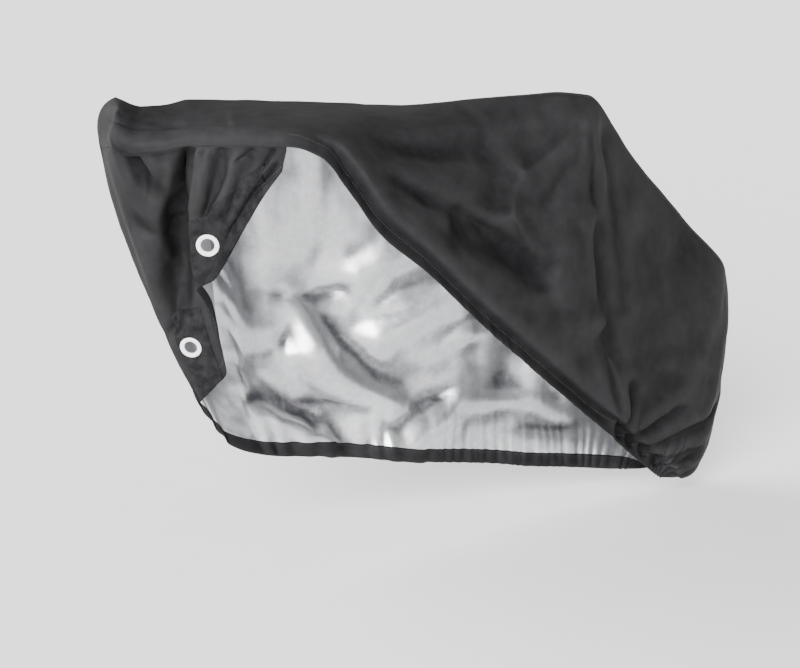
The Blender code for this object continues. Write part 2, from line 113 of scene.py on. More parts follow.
# Settling: (loosest hold on a point, column up to which the sheet is held, column from which it is loose)
NEAR_HOLD = (0.25, 90, 150)
FAR_HOLD = (0.05, 120, 190)
NEAR_SLACK = 0.015       # share by which the cloth is larger than its place
FAR_SLACK = 0.06
SETTLE_STEPS = 18        # frames for which a sheet settles
SETTLE_CAP = 0.012       # and the most that a point moves in them
EVEN_PASSES = 3          # times that those moves are evened out
CLOTH_FEEL = (           # settings of the simulated cloth
    ("quality", 5),
    ("mass", 0.10),
    ("tension_stiffness", 12),
    ("compression_stiffness", 12),
    ("shear_stiffness", 4),
    ("bending_stiffness", 0.5),
    ("air_damping", 3),
    ("pin_stiffness", 1.0),
)

KEEN_ROUND = 0.0015      # how softly the top of a keen crease or a tent is rounded
CRUMPLES = (             # unevenness of the cloth: (size, height, seed)
    (0.16, 0.0030, 1),
    (0.06, 0.0014, 2),
    (0.022, 0.0005, 3),
)
BEND_REACH = 3           # points to each side over which a bend is measured
BEND_FULL = 0.003        # height over them at which it counts as a full bend

STITCH = (0.0042, 0.0007, 0.0005)   # length, width and height of one stitch
STITCH_PITCH = 0.0065
STITCH_LIFT = 0.0005     # from the middle of the cloth out to a stitch
INNER_LIFT = 0.0020      # and in to one on the turned hem
THREAD_SIDES = 6
YARN = 0.0012            # from yarn to yarn in the cloth, and in the webbing
WEBBING_YARN = 0.0024

# Suns that stand in for broad soft boxes: (name, where it stands, power, spread in degrees)
BROAD_LIGHTS = (
    ("front_light", (-3.1, -2.5, 1.6), 9.5, 42.0),
    ("back_light", (-2.4, 3.2, 2.0), 4.5, 50.0),
)
ROOM_LIGHT = 0.62
FLOOR_SIZE = 160.0

# Camera: sensor and lens in millimetres, then where it stands and looks, and how far it leans in degrees
SENSOR_WIDTH = 36.0
LENS_LENGTH = 77.808
LENS_SHIFT = -0.0329
CAMERA_STAND = (-2.505, -3.136, 1.571)
CAMERA_TARGET = (-0.5, 0.0, 0.608)
CAMERA_LEAN = -1.55

# Near panel, from the far corner to the rear: (columns to the next line, crest, brow, belly, edge)
NEAR_LINES = (
    (2, (-1.042, 0.240, 1.105), (-1.072, 0.285, 1.085), (-1.074, 0.284, 1.035), (-1.068, 0.270, 0.994)),
    (2, (-1.034, 0.226, 1.101), (-1.072, 0.178, 1.094), (-1.074, 0.172, 1.060), (-1.086, 0.162, 1.012)),
    (2, (-1.000, 0.202, 1.087), (-1.040, 0.148, 1.070), (-1.048, 0.138, 1.050), (-1.064, 0.126, 1.001)),
    (2, (-0.950, 0.192, 1.087), (-0.992, 0.112, 1.068), (-1.000, 0.100, 1.045), (-1.022, 0.084, 1.004)),
    (3, (-0.901, 0.188, 1.093), (-0.945, 0.080, 1.070), (-0.958, 0.065, 1.046), (-0.974, 0.048, 1.017)),
    (4, (-0.880, 0.184, 1.092), (-0.930, 0.068, 1.070), (-0.945, 0.050, 1.047), (-0.962, 0.032, 1.017)),
    (4, (-0.785, 0.170, 1.082), (-0.855, 0.020, 1.068), (-0.880, -0.020, 1.050), (-0.897, -0.042, 1.019)),
    (2, (-0.681, 0.148, 1.071), (-0.770, -0.040, 1.064), (-0.812, -0.090, 1.052), (-0.836, -0.120, 1.020)),
    (2, (-0.591, 0.120, 1.062), (-0.680, -0.080, 1.058), (-0.742, -0.150, 1.040), (-0.776, -0.160, 0.996)),
    (2, (-0.507, 0.092, 1.053), (-0.600, -0.100, 1.048), (-0.690, -0.180, 1.010), (-0.728, -0.185, 0.925)),
    (2, (-0.428, 0.068, 1.046), (-0.520, -0.110, 1.040), (-0.640, -0.205, 0.970), (-0.670, -0.205, 0.832)),
    (3, (-0.327, 0.040, 1.048), (-0.400, -0.105, 1.035), (-0.545, -0.220, 0.900), (-0.550, -0.220, 0.724)),
    (3, (-0.211, 0.010, 1.050), (-0.250, -0.095, 1.035), (-0.420, -0.215, 0.800), (-0.430, -0.218, 0.606)),
    (3, (-0.099, -0.010, 1.050), (-0.110, -0.095, 1.035), (-0.270, -0.200, 0.700), (-0.300, -0.205, 0.490)),
    (3, (0.018, -0.020, 1.036), (-0.005, -0.095, 1.000), (-0.120, -0.185, 0.600), (-0.150, -0.175, 0.364)),
    (3, (0.145, -0.018, 0.888), (0.105, -0.085, 0.830), (0.020, -0.165, 0.450), (-0.010, -0.140, 0.248)),
    (2, (0.321, -0.010, 0.706), (0.262, -0.076, 0.625), (0.150, -0.150, 0.330), (0.110, -0.098, 0.148)),
    (2, (0.474, -0.003, 0.552), (0.405, -0.072, 0.470), (0.250, -0.140, 0.240), (0.172, -0.074, 0.098)),
    (3, (0.490, 0.000, 0.455), (0.430, -0.076, 0.370), (0.285, -0.125, 0.170), (0.196, -0.064, 0.078)),
    (3, (0.468, 0.000, 0.287), (0.420, -0.074, 0.220), (0.300, -0.110, 0.105), (0.212, -0.058, 0.066)),
    (2, (0.420, 0.000, 0.110), (0.378, -0.066, 0.085), (0.295, -0.088, 0.062), (0.228, -0.050, 0.058)),
    (2, (0.366, 0.000, 0.052), (0.345, -0.046, 0.044), (0.290, -0.064, 0.044), (0.244, -0.044, 0.056)),
    (0, (0.290, 0.000, 0.052), (0.282, -0.014, 0.052), (0.274, -0.028, 0.053), (0.264, -0.040, 0.056)),
)
MIDDLE = 7               # the near line where the sewn edge ends and the free hem starts

# Far panel across the front: (share of the sewn edge from its free end, lead, drape, hem)
FRONT_LINES = (
    (0.000, (-0.833, -0.112, 1.000), (-0.838, -0.104, 0.985), (-0.839, -0.100, 0.967)),
    (0.100, (-0.850, -0.080, 0.985), (-0.856, -0.072, 0.960), (-0.858, -0.070, 0.925)),
    (0.200, (-0.880, -0.040, 0.975), (-0.890, -0.030, 0.930), (-0.882, -0.032, 0.862)),
    (0.300, (-0.930, 0.000, 0.970), (-0.940, 0.000, 0.880), (-0.910, 0.010, 0.785)),
    (0.360, (-0.945, 0.014, 0.965), (-0.970, 0.015, 0.855), (-0.937, 0.038, 0.730)),
    (0.395, (-0.962, 0.030, 0.960), (-1.010, 0.038, 0.850), (-0.968, 0.052, 0.713)),
    (0.420, (-0.920, 0.075, 0.960), (-0.905, 0.110, 0.820), (-0.900, 0.125, 0.620)),
    (0.450, (-0.960, 0.080, 0.950), (-0.950, 0.112, 0.720), (-0.862, 0.148, 0.490)),
    (0.550, (-0.995, 0.110, 0.950), (-0.974, 0.145, 0.720), (-0.878, 0.160, 0.465)),
    (0.700, (-1.030, 0.140, 0.950), (-0.992, 0.185, 0.715), (-0.893, 0.172, 0.445)),
    (0.850, (-1.065, 0.180, 0.930), (-1.006, 0.215, 0.700), (-0.905, 0.182, 0.430)),
    (1.000, (-1.070, 0.262, 0.870), (-1.010, 0.235, 0.680), (-0.915, 0.190, 0.415)),
)

# Far panel behind the far corner: (near line that it meets at the seam, lead, drape, hem)
FAR_LINES = (
    (0, (-1.052, 0.288, 1.030), (-0.965, 0.260, 0.660), (-0.855, 0.180, 0.318)),
    (2, (-0.990, 0.292, 1.075), (-0.915, 0.280, 0.680), (-0.820, 0.185, 0.290)),
    (5, (-0.860, 0.288, 1.085), (-0.830, 0.290, 0.680), (-0.740, 0.190, 0.258)),
    (7, (-0.660, 0.260, 1.060), (-0.640, 0.280, 0.650), (-0.620, 0.190, 0.230)),
    (9, (-0.500, 0.220, 1.040), (-0.490, 0.240, 0.600), (-0.490, 0.180, 0.200)),
    (11, (-0.320, 0.160, 1.030), (-0.330, 0.200, 0.600), (-0.340, 0.165, 0.165)),
    (13, (-0.100, 0.100, 1.040), (-0.120, 0.160, 0.600), (-0.150, 0.145, 0.125)),
    (14, (0.020, 0.080, 1.000), (-0.010, 0.150, 0.500), (-0.050, 0.120, 0.103)),
    (15, (0.130, 0.070, 0.830), (0.080, 0.140, 0.400), (0.050, 0.100, 0.085)),
    (17, (0.415, 0.075, 0.470), (0.270, 0.120, 0.230), (0.170, 0.070, 0.062)),
    (19, (0.425, 0.074, 0.220), (0.310, 0.100, 0.100), (0.215, 0.055, 0.055)),
    (21, (0.345, 0.046, 0.044), (0.290, 0.062, 0.044), (0.240, 0.045, 0.053)),
    (22, (0.282, 0.014, 0.052), (0.274, 0.026, 0.053), (0.264, 0.036, 0.056)),
)

# Main folds: (start, end, half width, height out of the cloth)
FOLDS = (
    # near side: the long crease from the saddle to the gather, with its hollow
    ((-0.002, -0.062, 0.979), (-0.064, -0.128, 0.781), 0.034, 0.014),
    ((-0.064, -0.128, 0.781), (-0.065, -0.156, 0.540), 0.034, 0.018),
    ((-0.065, -0.156, 0.540), (0.040, -0.135, 0.280), 0.034, 0.016),
    ((0.027, -0.070, 0.940), (0.030, -0.125, 0.560), 0.034, -0.012),
    # near side: the swag in front of the saddle and the hollows round it
    ((-0.060, -0.080, 0.970), (-0.240, -0.130, 0.900), 0.038, 0.014),
    ((-0.258, -0.125, 0.906), (-0.310, -0.164, 0.819), 0.040, 0.014),
    ((-0.310, -0.164, 0.819), (-0.223, -0.178, 0.656), 0.040, 0.014),
    ((-0.050, -0.080, 0.940), (-0.202, -0.141, 0.835), 0.026, -0.012),
    ((-0.450, -0.190, 0.815), (-0.231, -0.177, 0.675), 0.042, -0.024),
    ((-0.600, -0.120, 0.995), (-0.355, -0.112, 0.960), 0.045, -0.014),
    # near side: the gather under the rear wheel
    ((0.062, -0.133, 0.350), (0.052, -0.126, 0.240), 0.018, -0.012),
    ((0.105, -0.110, 0.205), (0.226, -0.104, 0.253), 0.018, -0.012),
    ((0.165, -0.094, 0.159), (0.345, -0.078, 0.184), 0.018, -0.012),
    ((0.210, -0.081, 0.110), (0.330, -0.075, 0.118), 0.015, -0.010),
    ((0.137, -0.086, 0.663), (0.322, -0.080, 0.434), 0.060, -0.008),
    # across the front: pocket under the far grip, falls of the cloth, folds beside the eyelet
    ((-1.073, 0.140, 0.985), (-0.995, 0.104, 0.889), 0.026, -0.018),
    ((-1.030, 0.120, 0.960), (-1.005, 0.152, 0.742), 0.028, 0.012),
    ((-1.049, 0.186, 0.851), (-1.001, 0.127, 0.816), 0.016, -0.008),
    ((-0.950, 0.018, 0.990), (-0.972, 0.032, 0.890), 0.012, 0.007),
    ((-0.930, -0.005, 0.990), (-0.955, 0.020, 0.880), 0.012, -0.009),
    ((-0.908, -0.026, 0.990), (-0.940, 0.010, 0.875), 0.012, 0.008),
    ((-0.888, -0.050, 0.990), (-0.914, -0.004, 0.880), 0.012, -0.010),
    # far side: swags and billows that also show from inside
    ((-0.692, 0.234, 0.485), (-0.618, 0.211, 0.343), 0.045, 0.018),
    ((-0.618, 0.211, 0.343), (-0.517, 0.184, 0.214), 0.045, 0.018),
    ((-0.630, 0.240, 0.600), (-0.590, 0.229, 0.486), 0.050, -0.024),
    ((-0.590, 0.229, 0.486), (-0.430, 0.191, 0.332), 0.050, -0.024),
    ((-0.736, 0.212, 0.355), (-0.574, 0.192, 0.244), 0.040, -0.014),
    ((-0.285, 0.153, 0.742), (-0.475, 0.207, 0.653), 0.050, -0.026),
    ((-0.256, 0.159, 0.580), (-0.431, 0.197, 0.503), 0.050, -0.030),
    ((-0.232, 0.160, 0.301), (-0.401, 0.173, 0.192), 0.055, -0.026),
    ((-0.970, 0.270, 0.980), (-0.870, 0.235, 0.480), 0.040, 0.014),
    ((-0.080, 0.085, 0.940), (-0.100, 0.150, 0.340), 0.038, 0.016),
    ((0.300, 0.078, 0.600), (0.150, 0.110, 0.240), 0.040, 0.014),
)

# Creases of the near sheet. Each has its kind, and a path of (x, y, z, half width, height)
NEAR_CREASES = (
    # the main ridge and the swag of the solids are flatter here, under the sharper creases that follow
    ("soft", (-0.002, -0.062, 0.979, 0.030, -0.004), (-0.040, -0.102, 0.870, 0.034, -0.011),
     (-0.064, -0.128, 0.781, 0.034, -0.014), (-0.065, -0.156, 0.540, 0.034, -0.014),
     (-0.028, -0.150, 0.450, 0.032, -0.012), (0.005, -0.142, 0.366, 0.028, -0.008),
     (0.036, -0.136, 0.290, 0.022, 0.000)),
    ("soft", (-0.060, -0.080, 0.970, 0.036, -0.008), (-0.240, -0.128, 0.903, 0.039, -0.014),
     (-0.310, -0.164, 0.819, 0.040, -0.014), (-0.223, -0.178, 0.656, 0.040, -0.013)),
    ("soft", (-0.050, -0.080, 0.940, 0.026, 0.010), (-0.202, -0.141, 0.835, 0.026, 0.010)),
    ("soft", (0.027, -0.070, 0.940, 0.034, 0.006), (0.030, -0.125, 0.560, 0.034, 0.009)),
    ("soft", (-0.074, -0.091, 0.937, 0.024, 0.003), (-0.112, -0.113, 0.865, 0.036, 0.010),
     (-0.145, -0.141, 0.793, 0.042, 0.015), (-0.167, -0.161, 0.697, 0.044, 0.016),
     (-0.166, -0.174, 0.607, 0.044, 0.014), (-0.146, -0.176, 0.511, 0.040, 0.006)),
    # from the saddle down to the gather: a flat sided ridge, the hollow and the smaller ridge behind it
    ("tent", (-0.029, -0.082, 0.984, 0.012, 0.003), (-0.044, -0.089, 0.934, 0.024, 0.007),
     (-0.070, -0.118, 0.860, 0.040, 0.011), (-0.095, -0.146, 0.787, 0.050, 0.014),
     (-0.103, -0.153, 0.686, 0.054, 0.015), (-0.112, -0.165, 0.595, 0.054, 0.014),
     (-0.104, -0.169, 0.499, 0.048, 0.012), (-0.068, -0.163, 0.409, 0.042, 0.012),
     (-0.023, -0.153, 0.326, 0.030, 0.010), (0.012, -0.146, 0.270, 0.018, 0.004)),
    ("soft", (-0.018, -0.085, 0.962, 0.014, -0.003), (-0.031, -0.108, 0.900, 0.022, -0.009),
     (-0.045, -0.130, 0.840, 0.028, -0.013), (-0.053, -0.153, 0.774, 0.030, -0.014),
     (-0.048, -0.156, 0.678, 0.030, -0.016), (-0.044, -0.166, 0.585, 0.028, -0.014),
     (-0.030, -0.158, 0.500, 0.026, -0.012), (0.002, -0.150, 0.410, 0.022, -0.008),
     (0.030, -0.142, 0.330, 0.016, 0.000)),
    ("keen", (-0.005, -0.080, 0.981, 0.007, 0.002), (-0.009, -0.097, 0.919, 0.010, 0.006),
     (0.001, -0.096, 0.849, 0.012, 0.005), (-0.011, -0.114, 0.806, 0.012, 0.000)),
    ("keen", (-0.075, -0.182, 0.523, 0.010, 0.000), (-0.038, -0.167, 0.442, 0.012, -0.010),
     (-0.013, -0.162, 0.363, 0.011, -0.013), (0.014, -0.152, 0.294, 0.009, -0.010),
     (0.056, -0.118, 0.234, 0.006, 0.000)),
    # swag in front of the saddle: a wide bend round its flat side, and two short folds on that
    ("tent", (-0.037, -0.078, 0.991, 0.020, 0.000), (-0.110, -0.097, 0.965, 0.045, -0.007),
     (-0.195, -0.116, 0.938, 0.075, -0.013), (-0.284, -0.145, 0.905, 0.100, -0.018),
     (-0.320, -0.168, 0.858, 0.105, -0.019), (-0.314, -0.191, 0.801, 0.095, -0.016),
     (-0.260, -0.177, 0.736, 0.065, -0.009), (-0.211, -0.163, 0.690, 0.030, 0.000)),
    ("keen", (-0.148, -0.116, 0.856, 0.007, 0.000), (-0.186, -0.125, 0.837, 0.009, -0.007),
     (-0.219, -0.139, 0.823, 0.007, 0.000)),
    ("keen", (-0.214, -0.181, 0.639, 0.008, 0.000), (-0.192, -0.167, 0.667, 0.010, 0.008),
     (-0.170, -0.161, 0.693, 0.008, 0.000)),
    # troughs above the near hem
    ("soft", (-0.650, -0.180, 0.955, 0.016, 0.000), (-0.596, -0.182, 0.924, 0.020, -0.009),
     (-0.540, -0.190, 0.887, 0.022, -0.016), (-0.452, -0.171, 0.840, 0.022, -0.016),
     (-0.386, -0.169, 0.798, 0.022, -0.014), (-0.318, -0.167, 0.742, 0.020, -0.012),
     (-0.266, -0.170, 0.708, 0.018, -0.007), (-0.215, -0.164, 0.677, 0.014, 0.000)),
    ("keen", (-0.412, -0.160, 0.840, 0.008, 0.000), (-0.400, -0.170, 0.806, 0.010, -0.008),
     (-0.350, -0.170, 0.762, 0.010, -0.007), (-0.300, -0.168, 0.722, 0.010, 0.000)),
    ("soft", (-0.600, -0.110, 1.012, 0.020, 0.000), (-0.542, -0.121, 0.992, 0.024, -0.010),
     (-0.467, -0.123, 0.974, 0.026, -0.013), (-0.354, -0.109, 0.964, 0.026, -0.006),
     (-0.280, -0.110, 0.955, 0.020, 0.000)),
    # gather under the rear wheel
    ("keen", (-0.007, -0.147, 0.420, 0.008, 0.000), (0.008, -0.144, 0.369, 0.010, -0.018),
     (0.022, -0.139, 0.310, 0.008, -0.008), (0.036, -0.132, 0.262, 0.007, 0.000)),
    ("keen", (0.064, -0.133, 0.354, 0.008, 0.000), (0.060, -0.132, 0.318, 0.010, -0.021),
     (0.055, -0.130, 0.268, 0.008, -0.026), (0.051, -0.126, 0.233, 0.007, -0.013)),
    ("keen", (0.095, -0.126, 0.322, 0.008, 0.000), (0.098, -0.119, 0.244, 0.008, -0.013),
     (0.105, -0.112, 0.203, 0.007, -0.010)),
    ("keen", (0.091, -0.112, 0.195, 0.007, -0.013), (0.132, -0.109, 0.212, 0.008, -0.029),
     (0.178, -0.106, 0.225, 0.010, -0.029), (0.227, -0.103, 0.237, 0.011, -0.016),
     (0.276, -0.099, 0.257, 0.014, 0.000)),
    ("keen", (0.151, -0.096, 0.157, 0.007, -0.016), (0.220, -0.094, 0.167, 0.008, -0.023),
     (0.282, -0.091, 0.177, 0.008, -0.021), (0.353, -0.078, 0.182, 0.008, -0.016),
     (0.395, -0.062, 0.206, 0.008, -0.016), (0.430, -0.045, 0.225, 0.008, 0.000)),
    ("keen", (0.195, -0.083, 0.120, 0.007, -0.013), (0.242, -0.082, 0.116, 0.007, -0.021),
     (0.286, -0.083, 0.118, 0.007, -0.018), (0.330, -0.074, 0.124, 0.007, 0.000)),
    ("keen", (0.225, -0.076, 0.098, 0.006, -0.010), (0.264, -0.079, 0.100, 0.007, -0.018),
     (0.309, -0.077, 0.102, 0.007, -0.016), (0.345, -0.064, 0.100, 0.007, 0.000)),
    ("soft", (0.330, -0.085, 0.188, 0.012, 0.002), (0.365, -0.079, 0.245, 0.015, 0.008),
     (0.387, -0.072, 0.291, 0.015, 0.008), (0.433, -0.048, 0.395, 0.014, 0.000)),
    ("soft", (0.110, -0.112, 0.240, 0.016, 0.004), (0.190, -0.108, 0.262, 0.022, 0.010),
     (0.260, -0.100, 0.300, 0.026, 0.006), (0.320, -0.090, 0.350, 0.026, 0.000)),
    # front box over the far grip
    ("keen", (-1.067, 0.186, 1.078, 0.005, 0.005), (-1.077, 0.174, 1.047, 0.006, 0.006),
     (-1.085, 0.168, 1.015, 0.006, 0.004)),
    ("keen", (-1.060, 0.180, 1.078, 0.005, -0.006), (-1.070, 0.167, 1.047, 0.006, -0.009),
     (-1.078, 0.160, 1.018, 0.006, -0.007)),
    ("soft", (-1.055, 0.182, 1.081, 0.012, 0.000), (-0.998, 0.122, 1.057, 0.013, -0.004),
     (-0.903, -0.004, 1.036, 0.014, -0.003), (-0.803, -0.116, 1.031, 0.014, 0.000)),
    ("keen", (-0.826, 0.137, 1.080, 0.005, 0.000), (-0.882, 0.020, 1.054, 0.006, 0.0035),
     (-0.901, -0.034, 1.021, 0.005, 0.000)),
)

